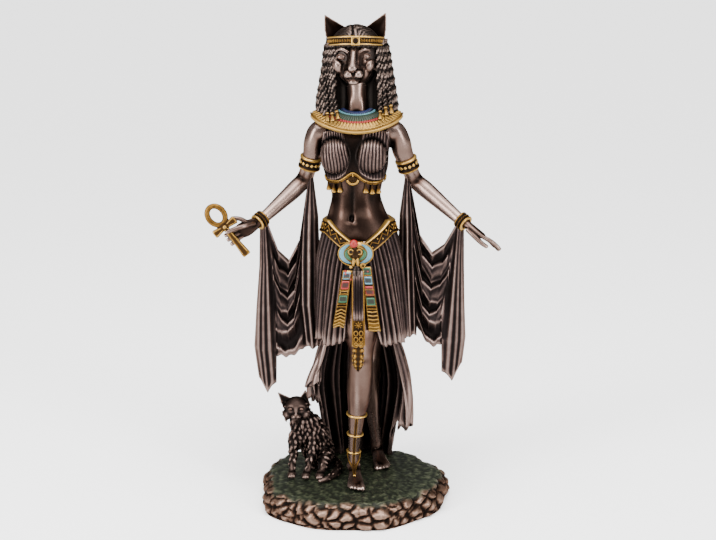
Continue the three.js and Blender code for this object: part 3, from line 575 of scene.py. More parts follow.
# %% The legs and feet
RIGHT_LEG = [
    (-4, -1, 130, 12, 12), (1, -7.5, 115, 11.4, 11.6), (2.9, -11.5, 104, 10.0, 10.2),
    (3.4, -13.6, 94, 6.9, 7.6), (3.0, -11.4, 80, 7.0, 7.4), (2.4, -8.8, 69, 6.8, 7.0),
    (1.1, -6.4, 57, 5.2, 5.6), (0.1, -4.6, 44, 3.8, 4.2), (-0.8, -3.2, 32, 3.1, 3.6),
    (-1.0, -2.0, 20, 3.5, 4.8)]
LEFT_LEG = [
    (9, 5, 120, 10, 10), (8.8, 7, 102, 8.4, 8.8), (8.6, 11, 86, 7.2, 7.7), (8.8, 18, 66, 6.2, 6.6),
    (10.4, 25, 44, 4.2, 4.6), (12.4, 29.2, 28, 3.2, 3.7), (12.8, 30.4, 18, 3.4, 4.8)]
FOOT = [(4.4, 2.0, 1.6), (1, 3.3, 3.6), (-7, 3.4, 3.4), (-16, 4.3, 2.3), (-23, 4.9, 1.7), (-26, 4.2, 1.2)]


def foot(heel, turn, big):
    """The foot's wedge and its toes. big is the side of the big toe."""
    def place(x, y, z):
        return (heel[0] + x * math.cos(turn) - y * math.sin(turn),
                heel[1] + x * math.sin(turn) + y * math.cos(turn), GROUND + z)

    parts = [sweep("instep", [(*place(0, y, high), wide, high) for y, wide, high in FOOT], 28, 40,
                   front=(0, 0, 1))]
    toes = [(-3.4, -29.0, 1.55), (-1.1, -28.6, 1.15), (0.9, -27.4, 1.05), (2.7, -26.0, 1.0),
            (4.2, -24.2, 0.9)]
    for x, y, thick in toes:
        side = -big * x
        parts.append(sweep("toe", [
            (*place(side * 0.9, y + 7, 2.0), thick, thick), (*place(side, y + 3, 2.1), thick, thick),
            (*place(side * 1.02, y + 0.6, 1.5), thick, thick * 0.95),
            (*place(side * 1.02, y - 0.5, 1.2), thick * 0.4, thick * 0.5)], 16, 18))
    parts.append(ball("ankle", place(0, 0.6, 7.5), (3.7, 3.9, 4.4)))
    return parts


def leg(name, stations, heel, turn, big):
    return welded(name, [sweep("limb", stations, 48, 130), *foot(heel, turn, big)], 0.54, 3)


right_leg = leg("right_leg", RIGHT_LEG, (-0.6, 2.6), 0.05, 1)
dab(right_leg, [
    (2.8, -21, 95, (3.4, 5, 4), 0.7), (2.8, -21, 89.5, (4.5, 5, 2), -0.35), (1.0, -14, 66, (1.2, 6, 16), 0.35),
    (6.5, -8, 70, (3, 5, 9), 0.5), (-3.2, -8, 72, (3, 5, 9), 0.4), (-4.2, -3, 22, (1.3, 2, 1.8), 0.7),
    (2.6, -3, 22, (1.3, 2, 1.8), 0.7)])
left_leg = leg("left_leg", LEFT_LEG, (12.8, 34.5), 0.12, -1)
dab(left_leg, [(8.8, 5, 84, (3.4, 5, 4), 0.6), (9.6, 33, 24, (1.3, 2, 1.8), 0.6), (16, 31, 24, (1.3, 2, 1.8), 0.6)])
for each in (right_leg, left_leg):
    points = points_of(each)
    points[:, 2] = np.maximum(points[:, 2], GROUND + 0.35)
    place_points(each, points)
    weather(each, relief=0.3, rounds=30)
    finish_piece(each, "figure_bronze", skin_bronze)

# %% [markdown]
# The head is a cat's on a woman's neck. Its skull, jaw, cheeks, muzzle and chin are balls, the nose
# and the brows are short sweeps, and each pricked ear is a leaf that is hollow to the front. They
# are welded finer than the body, because the face is small. The eyes are almonds: a ball set into a
# pressed socket, between two lids that are thin wires.

# %% The head
FACE_X = -0.9
EYES = {-1: (-7.2, -8.3, 256.3), 1: (5.6, -8.3, 256.7)}


def ear(name, inner, outer, tip, bulge):
    """A pricked ear whose base runs from inner to outer. bulge bends its outer edge outwards."""
    inner, outer, tip = (np.array(p, float) for p in (inner, outer, tip))
    rows = []
    for v in np.linspace(0, 1, 40):
        front, back = [], []
        for u in np.linspace(0, 1, 25):
            root = blend(inner, outer, u)
            arch = math.sin(math.pi * u)
            point = blend(root, tip, 0.985 * v)
            point[0] += bulge * math.sin(math.pi * v) * u
            point[1] += 3.4 * arch**0.8 * (1 - v) ** 0.8
            point[2] += 1.4 * arch * (1 - v)
            thick = blend(0.75, 1.5, arch) * blend(1.0, 0.7, v)
            front.append(point - (0, thick * 0.3, 0))
            back.append(point + (0, thick, 0))
        rows.append(front + back[::-1])
    return skin(name, rows, zipped=True)


def brow(side):
    inner, top, outer = (-3.6, -11.0, 258.6), (-7.4, -9.9, 260.5), (-11.0, -6.2, 258.4)
    points = [(FACE_X + side * (FACE_X - x), y, z) for x, y, z in (inner, top, outer)]
    return sweep("brow", [(*p, 1.1, 1.1) for p in points], 16, 20)


head = welded("head", [
    ball("skull", (0.5, -1.2, 255.6), (11.5, 11, 12.6), segments=48, rings=32),
    ball("jaw", (-0.1, -5.4, 248.8), (9.0, 7.6, 7.2), segments=40, rings=28),
    ball("muzzle", (-1, -10.4, 247.0), (5.4, 5.0, 4.4)),
    ball("chin", (-0.9, -12.0, 243.2), (2.9, 2.7, 1.9)),
    *[ball("pad", (FACE_X + s * 2.7, -13.3, 247.3), (2.8, 3.1, 2.6)) for s in (-1, 1)],
    *[ball("cheek", (FACE_X + s * 8.0, -7.2, 251.6), (3.3, 4.0, 4.6), (0, s * 0.4, 0)) for s in (-1, 1)],
    brow(1), brow(-1),
    sweep("bridge", [
        (-0.4, -8.4, 262.5, 3.2, 2.4), (-0.9, -11.6, 257.6, 2.0, 2.3), (-1.3, -14.4, 253, 2.1, 2.1),
        (-1.4, -16.0, 250.6, 2.4, 1.6), (-1.3, -15.6, 249.2, 1.5, 1.0)], 20, 30),
    ear("right_ear", (-3.4, 1.5, 270.8), (-14.6, 2.6, 261.5), (-16.6, 0.2, 278.6), -0.9),
    ear("left_ear", (4.4, 1.5, 270.8), (15.2, 2.6, 261.5), (16.8, 0.2, 279.8), 0.9),
], 0.4, 2)
EYE_MARKS = [(x, y - 1.0, z, (3.0, 3.0, 2.1), -1.5) for x, y, z in EYES.values()]
dab(head, EYE_MARKS + [
    (FACE_X + s * 4.4, -12.2, 254.0, (1.3, 2.6, 3.2), -0.9) for s in (-1, 1)] + [
    (FACE_X, -9.8, 262, (1.2, 3, 3.0), -0.4), (FACE_X, -16, 247.2, (0.5, 3, 1.9), -0.9)] + [
    (FACE_X + s * (1.2 + k), -14.5 + 0.35 * k, 245.0 - 0.1 * k, (0.8, 2.4, 0.55), -0.8)
    for s in (-1, 1) for k in range(4)] + [
    (FACE_X + s * 5.6, -11, 247.5, (0.9, 2.5, 3.0), -0.7) for s in (-1, 1)])
weather(head, relief=0.3, rounds=24)
finish_piece(head, "figure_bronze", skin_bronze)


def almond(centre, side, half, lift, count=15):
    """Points along an eyelid between its inner and outer corner. lift is up for the upper lid."""
    points = []
    for t in np.linspace(-1, 1, count):
        x = centre[0] + side * half * t
        z = centre[2] + lift * (1 - t * t) ** 0.8 + 0.45 * t
        y = centre[1] - 1.75 + 1.1 * t * t + 0.35 * (t > 0) * t
        points.append((x, y, z))
    return points


eye_parts, lid_parts = [], []
for side, (x, y, z) in EYES.items():
    eye_parts.append(ball("eye", (x, y - 0.1, z), (2.6, 1.9, 1.7), segments=20, rings=14))
    for lift in (1.25, -1.0):
        lid = almond((x, y, z), side, 2.7, lift)
        lid_parts.append(sweep("lid", [(*p, 0.34, 0.36) for p in lid], 8, 30))
eyes = joined("eyes", eye_parts + lid_parts)
weather(eyes, relief=0.2, rounds=4)
finish_piece(eyes, "figure_bronze", skin_bronze)

nose = welded("nose", [
    ball("pad", (FACE_X - 0.4, -16.3, 250.0), (1.7, 0.95, 1.0)),
    ball("tip", (FACE_X - 0.3, -16.2, 249.2), (0.9, 0.8, 0.9))], 0.18, 2)
dab(nose, [(FACE_X - 0.4 + s * 1.1, -16.8, 249.6, (0.4, 0.7, 0.35), -0.35) for s in (-1, 1)])
weather(nose, relief=0.15, rounds=8)
finish_piece(nose, "figure_bronze", skin_bronze)

# %% [markdown]
# She wears a braided wig. A dark core fills it, a cap of combed hair with a middle parting shows
# above the headband, and more than forty thin plaits fall over the core. Each plait is a sweep
# whose section has two lobes that turn round it, so that it catches light as twisted hair does, and
# it ends in a gilt tassel. A few small random numbers, seeded so that they never change, keep the
# plaits from being alike.

# %% The wig
WIG_MIDDLE = (1.0, 1.4)
WIG_LEVELS = [(266, 14.6, 12.4), (258, 17.2, 14.0), (250, 18.0, 14.2), (240, 19.2, 14.1), (231, 20.6, 13.7), (222.6, 20.6, 12.8)]
BRAID_SPAN = 0.80
random = np.random.default_rng(7)


def wig_point(phi, share, out=0.0):
    """A point on the wig's surface: phi is 0 behind the head, and share runs down a plait."""
    z, wide, deep = curve(WIG_LEVELS, 101)[int(round(share * 100))]
    back = math.cos(phi)
    y = WIG_MIDDLE[1] + (deep + out) * back * (0.8 if back < 0 else 1)
    return np.array([WIG_MIDDLE[0] + (wide + out) * math.sin(phi), y, z])


core_rows = []
for share in np.linspace(0, 0.98, 30):
    around = [wig_point(phi, share, -1.7) for phi in np.linspace(1, -1, 60) * BRAID_SPAN * math.pi]
    z = around[0][2]
    throat = [(-12.2, -5.4), (-8.5, -1.6), (-4, 0.2), (0, 0.6), (4, 0.2), (8.5, -1.6), (12.2, -5.4)]
    core_rows.append([*around, *[(WIG_MIDDLE[0] + x, y, z) for x, y in throat]])
core = skin("core", core_rows)
cap = ball("cap", (0.4, 2.6, 256.4), (15.2, 13.4, 17.0), segments=96, rings=64)
core = welded("wig_core", [core, cap], 0.62, 2)
points = points_of(core)
turn = np.arctan2(points[:, 0] - 0.4, -(points[:, 1] - 2.6))
strand = np.cos(turn * 64 + 1.5 * np.sin(points[:, 2] * 0.5)) * 0.16
parting = -0.7 * np.exp(-((points[:, 0] + 1.4) / 0.5) ** 2) * (points[:, 1] < 4)
above = ease(points[:, 2], 262, 266)
place_points(core, points + normals_of(core) * ((strand + parting) * above)[:, None])
weather(core, relief=0.12, rounds=8)
finish_piece(core, "figure_bronze", hair_bronze)


def plait(points, thick, rings=66):
    turns = 9 * TAU
    stations = [(*p, thick, thick) for p in points]
    return sweep("plait", stations, 10, rings,
                 shape=lambda along, angle: 1 + 0.26 * np.cos(2 * angle + turns * along)
                 + 0.10 * np.cos(angle - 2.3 * turns * along))


def tassel(top, down, length=4.6, thick=0.95):
    """A gilt tassel on the end of a plait: a ring, a waist and a bell of threads."""
    top, down = np.array(top, float), unit(np.array(down, float))
    sizes = [(0.0, 0.6), (0.12, 1.15), (0.2, 1.2), (0.3, 0.8), (0.5, 0.95), (0.8, 1.3), (0.95, 1.35), (1.0, 0.5)]
    stations = [(*(top + down * length * t), thick * s, thick * s) for t, s in sizes]
    return sweep("tassel", stations, 12, 22, shape=lambda along, angle: 1 + 0.10 * np.cos(6 * angle) * (along > 0.35))


plaits, tassels = [], []
OUTER = 40
for k in range(OUTER):
    phi = blend(-1, 1, (k + 0.5) / OUTER) * BRAID_SPAN * math.pi
    end = blend(0.90, 0.965, random.random())
    sway, start = random.normal(0, 0.02), random.random() * TAU
    row = []
    for t in np.linspace(0.02, end, 12):
        out = 0.15 + 0.5 * t + 0.35 * math.sin(7 * t + start)
        row.append(wig_point(phi + sway * math.sin(5 * t + start), t, out))
    plaits.append(plait(row, 1.3 + random.normal(0, 0.06)))
    tassels.append(tassel(row[-1], row[-1] - row[-2], length=4.2))
INNER = [
    [(-12.2, -4.4, 261.5), (-13.6, -6.0, 252), (-12.9, -7.2, 243), (-11.2, -8.6, 234), (-10.0, -11.0, 228)],
    [(-13.4, -3.0, 261.5), (-14.8, -5.0, 252), (-14.4, -6.8, 243), (-13.0, -8.8, 234), (-12.4, -11.2, 227)],
    [(-14.6, -1.4, 260.5), (-16.2, -3.6, 251), (-16.3, -5.6, 242), (-15.4, -8.0, 234), (-15.0, -10.0, 227)],
    [(13.0, -4.4, 261.5), (14.2, -5.8, 252), (14.0, -7.0, 243), (13.7, -8.6, 234), (13.6, -11.0, 228)],
    [(14.4, -2.8, 261.0), (15.8, -4.6, 252), (16.0, -6.4, 243), (16.0, -8.4, 235), (16.4, -10.4, 230)],
    [(15.8, -1.0, 260.5), (17.6, -3.4, 251), (18.2, -5.2, 242), (18.6, -7.2, 236), (19.2, -8.8, 231)],
]
for row in INNER:
    smooth_row = curve(row, 12)
    plaits.append(plait(smooth_row, 1.05))
    tassels.append(tassel(smooth_row[-1], smooth_row[-1] - smooth_row[-2], length=5.4, thick=0.9))
plaits = joined("plaits", plaits)
weather(plaits, relief=0.12, rounds=4)
finish_piece(plaits, "figure_bronze", hair_bronze)
tassels = joined("tassels", tassels)
weather(tassels, relief=0.12, rounds=4)
finish_piece(tassels, "figure_bronze", old_gold)

# %% [markdown]
# The headband is a gilt hoop over the brow. Two rims and a row of small bosses between them are
# made once and set round the hoop, a plaque sits in the middle, and a fringe of short hair shows
# under it. Things that repeat are copied by a helper: it takes one small mesh and a list of places,
# and makes one piece of them.

# %% Repeats and the headband
def frame_at(at, out, up):
    """A place as a matrix: the piece's -Y looks outwards and its +Z points up."""
    y = -unit(np.array(out, float))
    z = unit(np.array(up, float) - y * np.dot(up, y))
    matrix = np.eye(4)
    matrix[:3, 0], matrix[:3, 1], matrix[:3, 2], matrix[:3, 3] = np.cross(y, z), y, z, at
    return matrix


def repeated(name, part, places):
    """One piece from copies of a small part, which is modelled at the origin and then removed."""
    points = points_of(part)
    faces = [tuple(f.vertices) for f in part.data.polygons]
    all_points, all_faces = [], []
    for n, matrix in enumerate(places):
        all_points.append(points @ matrix[:3, :3].T + matrix[:3, 3])
        all_faces += [tuple(v + n * len(points) for v in f) for f in faces]
    bpy.data.objects.remove(part)
    return new_piece(name, np.vstack(all_points), all_faces)


def block(name, half, bevel=0.15, segments=2, at=(0, 0, 0), turn=(0, 0, 0)):
    """A bevelled block of half sizes [x, y, z]."""
    deselect()
    bpy.ops.mesh.primitive_cube_add(
        size=2, location=[v * MM for v in at], rotation=turn, scale=[v * MM for v in half])
    bpy.ops.object.transform_apply(location=True, rotation=True, scale=True)
    piece = bpy.context.object
    piece.name = name
    if bevel:
        modify(piece, "BEVEL", width=bevel * MM, segments=segments, limit_method="NONE")
    return piece


def hoop_point(a, out, z):
    """A point round the headband at angle a, which is lifted over the brow."""
    return np.array([0.5 + (15.2 + out) * math.cos(a), 1.2 + (14.6 + out) * math.sin(a),
                     z - 1.3 * math.sin(a)])


angles = np.linspace(0, TAU, 120, endpoint=False)
BAND = [(-1.6, 261.6), (0.55, 261.6), (0.75, 262.2), (0.35, 262.6), (0.25, 265.3), (0.6, 265.7),
        (0.4, 266.3), (-1.9, 266.3)]
band = skin("band", [[hoop_point(a, out, z) for out, z in BAND] for a in angles], closed=True)
boss = ball("boss", (0, 0, 0), (0.62, 0.4, 0.95), segments=10, rings=6)
places = [frame_at(hoop_point(a, 0.35, 263.9), (math.cos(a), math.sin(a), 0), (0, 0, 1))
          for a in np.linspace(0, TAU, 64, endpoint=False)]
bosses = repeated("bosses", boss, places)
plaque = block("plaque", (2.4, 0.7, 2.5), 0.5, 3, at=(0.3, -14.1, 265.1))
gem = ball("gem", (0.3, -14.9, 265.0), (1.5, 0.6, 1.6))
band = joined("headband", [band, bosses, plaque, gem])
weather(band, relief=0.12, rounds=4)
finish_piece(band, "figure_bronze", old_gold)

fringe = []
for k, x in enumerate(np.linspace(-11.0, 11.6, 26)):
    a = -math.acos(max(-1, min(1, (x - 0.5) / 14.8)))
    top, low = hoop_point(a, -0.2, 261.9), hoop_point(a, -0.9, 259.9 + 0.5 * math.sin(k * 2.1))
    fringe.append(sweep("lock", [(*top, 0.5, 0.5), (*blend(top, low, 0.6), 0.5, 0.5), (*low, 0.15, 0.2)], 6, 8))
fringe = joined("brow_fringe", fringe)
weather(fringe, relief=0.1, rounds=3)
finish_piece(fringe, "figure_bronze", hair_bronze)

# %% [markdown]
# The broad collar lies on the shoulders and dips to the breast. It is a shell, and rings of beads
# are set on it: a dark blue band at the neck, a row of pale blue beads, tubes of blue and green, red
# beads in front and a fringe of gilt bars, with gilt wires between the rings. Each ring is one small
# bead that is repeated round the collar.

# %% The broad collar
COLLAR_X = 0.9


def collar_point(a, t, up=0.0):
    """A point on the collar's top: a is the angle round the neck and t runs outwards."""
    front = max(0.0, -math.sin(a))
    rim = 225.2 - 8.4 * abs(math.sin(a)) ** 1.6
    z = blend(228.5, rim, t) - 2.5 * front * (1 - t) + 0.9 * math.sin(math.pi * t)
    y = blend(1 + 6.6 * math.sin(a), 1.4 + 14.2 * math.sin(a) + 1.4 * max(0.0, math.sin(a)), t)
    return np.array([COLLAR_X + blend(7.2, 25.6, t) * math.cos(a), y, z + up])


def collar_frame(a, t, up=0.0):
    """A place on the collar whose +Z points inwards to the neck and -Y points off the surface."""
    at = collar_point(a, t, up)
    outwards = collar_point(a, t + 0.02, up) - at
    around = collar_point(a + 0.02, t, up) - at
    away = unit(np.cross(outwards, around))
    away = away if away[2] > 0 else -away
    return frame_at(at, away, -outwards)


def ring_of(name, part, count, t, up):
    """Copies of a bead evenly spread round the collar by their true spacing."""
    fine = np.linspace(0, TAU, 721)
    line = np.array([collar_point(a, t) for a in fine])
    run = np.concatenate([[0], np.cumsum(np.linalg.norm(np.diff(line, axis=0), axis=1))])
    spread = np.interp((np.arange(count) + 0.5) / count * run[-1], run, fine)
    return repeated(name, part, [collar_frame(a, t, up) for a in spread])


def collar_wire(t, up, radius):
    points = [collar_point(a, t, up) for a in np.linspace(0, TAU, 90, endpoint=False)]
    return wire("rim", points, radius, 6, 180, front=(0, 0, 1), closed=True)


PROFILE = [(0.02, 0.2), (0.25, 0.25), (0.5, 0.3), (0.75, 0.3), (0.98, 0.2), (1.0, -1.6), (0.6, -3.0), (0.0, -3.4)]
shell = skin("shell", [[collar_point(a, t, up) for t, up in PROFILE] for a in np.linspace(0, TAU, 160, endpoint=False)],
             closed=True)
bars = ring_of("bars", block("bar", (0.72, 0.5, 2.0), 0.35, 2), 64, 0.83, 0.35)
collar = joined("collar", [shell, bars, collar_wire(0.15, 0.45, 0.3), collar_wire(0.30, 0.45, 0.28),
                           collar_wire(0.57, 0.45, 0.3), collar_wire(0.71, 0.4, 0.3), collar_wire(0.98, 0.1, 0.5)])
weather(collar, relief=0.14, rounds=5)
finish_piece(collar, "gilt", old_gold)
for name, part, count, t, finish in (
        ("collar_blue_band", block("bead", (0.62, 0.4, 1.1), 0.25, 1), 44, 0.06, blue_enamel),
        ("collar_pale_beads", ball("bead", (0, 0, 0), (0.72, 0.5, 0.85), segments=12, rings=8), 52, 0.225, sky_enamel),
        ("collar_green_tubes", block("tube", (0.6, 0.42, 2.1), 0.3, 2), 72, 0.435, green_enamel),
        ("collar_red_beads", ball("bead", (0, 0, 0), (0.75, 0.5, 0.95), segments=12, rings=8), 76, 0.64, red_enamel)):
    ring = ring_of(name, part, count, t, 0.4)
    weather(ring, relief=0.25, rounds=5)
    finish_piece(ring, "gilt", finish)

# %% [markdown]
# The bodice is two pleated cups that run up under the collar and leave the breastbone bare. A grid
# of points is shot at the finished body from the front, and set a little off its skin with pleats
# that run from the collar to the lower edge. The same shooting lays the gilt edge and its pendants
# on the body, so nothing hangs in the air.

# %% The bodice
from mathutils.bvhtree import BVHTree


def tree_of(piece):
    """A search tree of a piece, in metres."""
    return BVHTree.FromObject(piece, bpy.context.evaluated_depsgraph_get())


body_tree = tree_of(body)


def on_body(x, z, lift=0.0, centre=(0.5, 2.0)):
    """The point of the body seen from the front at x, z, or beside it the nearest one."""
    start = Vector((x * MM, -60 * MM, z * MM))
    hit, out, _, _ = body_tree.ray_cast(start, Vector((0, 1, 0)))
    if hit is None or out.y > -0.12:
        hit, out, _, _ = body_tree.find_nearest(Vector((x * MM, (centre[1] - 3) * MM, z * MM)))
    return np.array(hit) / MM + np.array(out) * lift


CUPS = {
    -1: {"inner": [(-6.6, 217), (-4.6, 206), (-3.4, 199), (-5.0, 193.8)],
         "outer": [(-17.4, 216), (-18.6, 207), (-18.2, 198), (-16.6, 190.6)]},
    1: {"inner": [(4.6, 217), (2.8, 206), (1.6, 199), (2.6, 193.8)],
        "outer": [(18.8, 216), (18.6, 207), (18.4, 198), (17.4, 190.6)]}}
CUP_SAG = 2.6


def cup(side):
    """One cup: u runs outwards from the breastbone and v down from the collar."""
    across, down = 84, 60
    inner = curve(CUPS[side]["inner"], down)
    outer = curve(CUPS[side]["outer"], down)
    rows = []
    for j in range(down):
        v = j / (down - 1)
        front, back = [], []
        for i in range(across):
            u = i / (across - 1)
            x, z = blend(inner[j], outer[j], u)
            z -= CUP_SAG * math.sin(math.pi * u) * v**2
            edge = float(ease(u, 0, 0.06) * ease(1 - u, 0, 0.05))
            fold = abs(math.sin(math.pi * (u * 9 + 0.25 * math.sin(3 * v + side)))) ** 0.8
            swell = blend(0.3, 0.62, math.sin(math.pi * u)) * blend(0.9, 0.55, v)
            front.append(on_body(x, z, 0.45 + (0.15 + swell * fold) * edge))
            back.append(on_body(x, z, -0.5))
        rows.append(front + back[::-1])
    return skin("cup", rows, zipped=True)


bodice = joined("bodice", [cup(-1), cup(1)])
modify(bodice, "SMOOTH", iterations=2, factor=0.5)
weather(bodice, relief=0.12, rounds=8)
finish_piece(bodice, "figure_bronze", cloth_bronze)

EDGE = [(-17.4, 191.0), (-14.6, 189.8), (-11.2, 189.2), (-8.0, 189.6), (-5.6, 191.2), (-3.4, 193.0), (-1.3, 193.8),
        (0.9, 193.0), (3.2, 191.0), (5.8, 189.3), (9.0, 188.5), (12.4, 188.6), (15.6, 189.8), (18.0, 191.0)]
BACK = [(16.0, 7.0, 190.6), (9.5, 10.8, 190.2), (0.6, 11.4, 190.0), (-8.5, 10.8, 190.2), (-15.2, 7.0, 190.6)]
edge_line = [on_body(x, z, 0.9) for x, z in EDGE]
trims = [wire("edge", [*edge_line, *BACK], 0.5, 8, 220, front=(0, 0, 1), closed=True)]
trims.append(wire("edge", [p - (0, 0, 1.0) for p in [*edge_line, *np.array(BACK)]], 0.28, 6, 220, front=(0, 0, 1), closed=True))


def bell(x, top):
    """A bell drop with a ring, a long waist and a flared foot, hung against the body."""
    at = on_body(x, top, 0.9)
    low = on_body(x, top - 6.6, 1.1)
    shape_of_bell = [(0, 0.6), (0.1, 0.75), (0.16, 0.5), (0.42, 0.72), (0.6, 1.0), (0.8, 1.42), (0.93, 1.55), (1, 0.7)]
    return sweep("bell", [(*blend(at, low, t), r, r * 0.85) for t, r in shape_of_bell], 14, 26)


DROPS = [(-14.2, 189.8), (-11.0, 189.0), (-7.8, 189.4), (5.6, 189.2), (8.9, 188.3), (12.2, 188.4)]
trims += [bell(x, z) for x, z in DROPS]
middle = on_body(-1.2, 190.6, 0.4)
bowl = wire("bowl", [middle + (3.1 * math.cos(a), -0.6, 3.0 * math.sin(a)) for a in np.linspace(-2.9, -0.24, 12)], 0.75, 10, 30)
trims += [bowl, ball("seed", middle + (0, -0.7, 0.2), (1.2, 0.9, 1.3)),
          ball("plate", middle + (0, 0.1, -0.4), (2.9, 0.8, 2.4)),
          wire("stem", [middle + (0, -0.7, 3.2), middle + (0, -0.8, 1.2)], 0.5, 8, 8)]
trims = joined("bodice_trim", trims)
weather(trims, relief=0.16, rounds=5)
finish_piece(trims, "gilt", old_gold)

# %% [markdown]
# Armbands, cuffs and ankle rings are hoops round a limb. One helper turns a small profile round any
# axis, as a lathe does, and raised rims, grooves and bosses come from that profile and from repeats.

# %% Bangles
def hoop(name, at, axis, profile, sides=56):
    """A closed ring of the profile [(along, radius)] round an axis through at."""
    axis = unit(np.array(axis, float))
    side = unit(np.cross(axis, (0.3, 0.2, 1.0) if abs(axis[2]) < 0.8 else (1.0, 0.2, 0.0)))
    other = np.cross(axis, side)
    rows = []
    for a in np.linspace(0, TAU, sides, endpoint=False):
        spoke = side * math.cos(a) + other * math.sin(a)
        rows.append([np.array(at) + axis * along + spoke * radius for along, radius in profile])
    return skin(name, rows, closed=True)


def hoop_places(at, axis, radius, count, along=0.0):
    axis = unit(np.array(axis, float))
    side = unit(np.cross(axis, (0.3, 0.2, 1.0) if abs(axis[2]) < 0.8 else (1.0, 0.2, 0.0)))
    other = np.cross(axis, side)
    places = []
    for a in np.arange(count) / count * TAU:
        spoke = side * math.cos(a) + other * math.sin(a)
        places.append(frame_at(np.array(at) + axis * along + spoke * radius, spoke, axis))
    return places


def armband(at, axis, radius, length):
    half = length / 2
    profile = [(-half, radius - 1.6), (-half, radius + 0.2), (-half * 0.86, radius + 0.75), (-half * 0.62, radius + 0.75),
               (-half * 0.5, radius + 0.1), (half * 0.5, radius + 0.1), (half * 0.62, radius + 0.75),
               (half * 0.86, radius + 0.75), (half, radius + 0.2), (half, radius - 1.6)]
    bead = block("lozenge", (0.8, 0.45, 0.8), 0.2, 1, turn=(0, math.radians(45), 0))
    return [hoop("band", at, axis, profile), repeated("lozenges", bead, hoop_places(at, axis, radius + 0.2, 14))]


def cuff(at, axis, radius, length):
    half = length / 2
    profile = [(-half, radius - 1.4), (-half, radius + 0.3), (-half * 0.7, radius + 0.5), (-half * 0.55, radius),
               (half * 0.55, radius), (half * 0.7, radius + 0.5), (half, radius + 0.3), (half, radius - 1.4)]
    bead = ball("bead", (0, 0, 0), (0.62, 0.5, 0.62), segments=10, rings=6)
    rows = [repeated("beads", bead, hoop_places(at, axis, radius + 0.1, 20))]
    return [hoop("cuff", at, axis, profile), *rows]


ARMBANDS = [((-25.0, 5.0, 197.8), (-0.22, 0.25, -0.92)), ((29.1, 5.0, 196.9), (0.3, 0.25, -0.9))]
WRISTS = [((-52.1, -10.0, 167.7), (-0.66, -0.55, -0.5)), ((59.4, -9.4, 166.8), (0.68, -0.5, -0.5))]
ANKLE_RINGS = [((0.9, -6.2, 54.5), 5.7), ((-0.1, -4.4, 42), 4.5), ((-0.9, -3.2, 31), 3.9)]
bangles = []
for at, axis in ARMBANDS:
    bangles += armband(at, axis, 5.5, 7.4)
for at, axis in WRISTS:
    bangles += cuff(at, axis, 4.3, 5.0)
SHIN = (-0.07, 0.1, -1)
for at, radius in ANKLE_RINGS:
    bangles.append(hoop("ring", at, SHIN, [(-0.5, radius - 0.9), (-0.7, radius), (0, radius + 0.45), (0.7, radius), (0.5, radius - 0.9)], 40))
leg_tree = tree_of(right_leg)


def on_leg(x, z, lift):
    hit, out, _, _ = leg_tree.ray_cast(Vector((x * MM, -60 * MM, z * MM)), Vector((0, 1, 0)))
    return np.array(hit) / MM + np.array(out) * lift


strap = [on_leg(x, z, 0.3) for x, z in [(0.9, 54.2), (0.4, 48), (-0.1, 42), (-0.5, 36.5), (-0.8, 31), (-0.9, 25.5), (-0.8, 22.4)]]
bangles.append(sweep("strap", [(*p, 0.9, 0.45) for p in strap], 8, 50))
for s in (-1, 1):
    line = [(-0.8 + s * 3.4, -0.2, 28.6), (-0.8 + s * 2.4, -4.6, 25.5), (-0.6 + s * 0.5, -9.0, 22.4), (-0.4, -15.0, 20.2)]
    bangles.append(sweep("thong", [(*p, 0.8, 0.5) for p in line], 8, 30, front=(0, -0.5, 1)))
bangles = joined("bangles", bangles)
weather(bangles, relief=0.16, rounds=5)
finish_piece(bangles, "gilt", old_gold)

# %% [markdown]
# The belt sits on the hips in a V. It is a closed band, turned round the oval of the hips, with
# raised rims, and a zigzag wire between them with small bosses in its corners. Its inside and the
# skirt below share one function for the hips, so that they fit each other.

# %% The belt
def hips(z):
    """Middle, half width and half depth of the hips at a height."""
    t = (z - 97) / (168 - 97)
    wide = blend(23.2, 17.8, max(0.0, (t - 0.6) / 0.4) ** 1.5) if t > 0.6 else blend(24.2, 23.2, t / 0.6)
    deep = blend(20.2, 11.4, float(ease(t, -0.4, 1.25)) ** 1.3)
    return blend(3.6, 2.0, t), blend(0.4, 1.0, t), wide, deep


def belt_top(a):
    flank = abs(math.cos(a))
    return 153.6 + 13.4 * min(1, flank / 0.86) ** 1.1 + 8.5 * float(ease(math.sin(a), 0, 0.6)) * (1 - flank)


def belt_point(a, down, out):
    """A point on the belt: down is the distance below its upper edge."""
    z = belt_top(a) - down
    x, y, wide, deep = hips(z)
    return np.array([x + (wide + out) * math.cos(a), y + (deep + out) * math.sin(a), z])


BELT = [(7.3, -2.0), (7.3, 1.9), (6.9, 2.5), (6.2, 2.5), (5.8, 1.9), (1.5, 1.7), (1.1, 2.2), (0.4, 2.1), (0.0, 1.4), (0.0, -2.0)]
angles = np.linspace(0, TAU, 200, endpoint=False)
belt = [skin("band", [[belt_point(a, down, out) for down, out in BELT] for a in angles], closed=True)]
TEETH = 40
zigzag = [belt_point(k / TEETH * TAU, 5.3 if k % 2 else 2.0, 1.95) for k in range(TEETH)]
corners_of_zigzag = []
for k in range(TEETH):
    after = zigzag[(k + 1) % TEETH]
    corners_of_zigzag += [zigzag[k], blend(zigzag[k], after, 0.12), blend(zigzag[k], after, 0.88)]
belt.append(wire("zigzag", corners_of_zigzag, 0.36, 6, TEETH * 12, front=(0, 0, 1), closed=True))
for k in range(TEETH):
    a = (k + 0.0) / TEETH * TAU
    belt.append(ball("boss", belt_point(a, 2.6 if k % 2 else 4.9, 1.8), (0.55, 0.55, 0.6), segments=8, rings=5))
belt = joined("belt", belt)
weather(belt, relief=0.2, rounds=6)
finish_piece(belt, "gilt", old_gold)

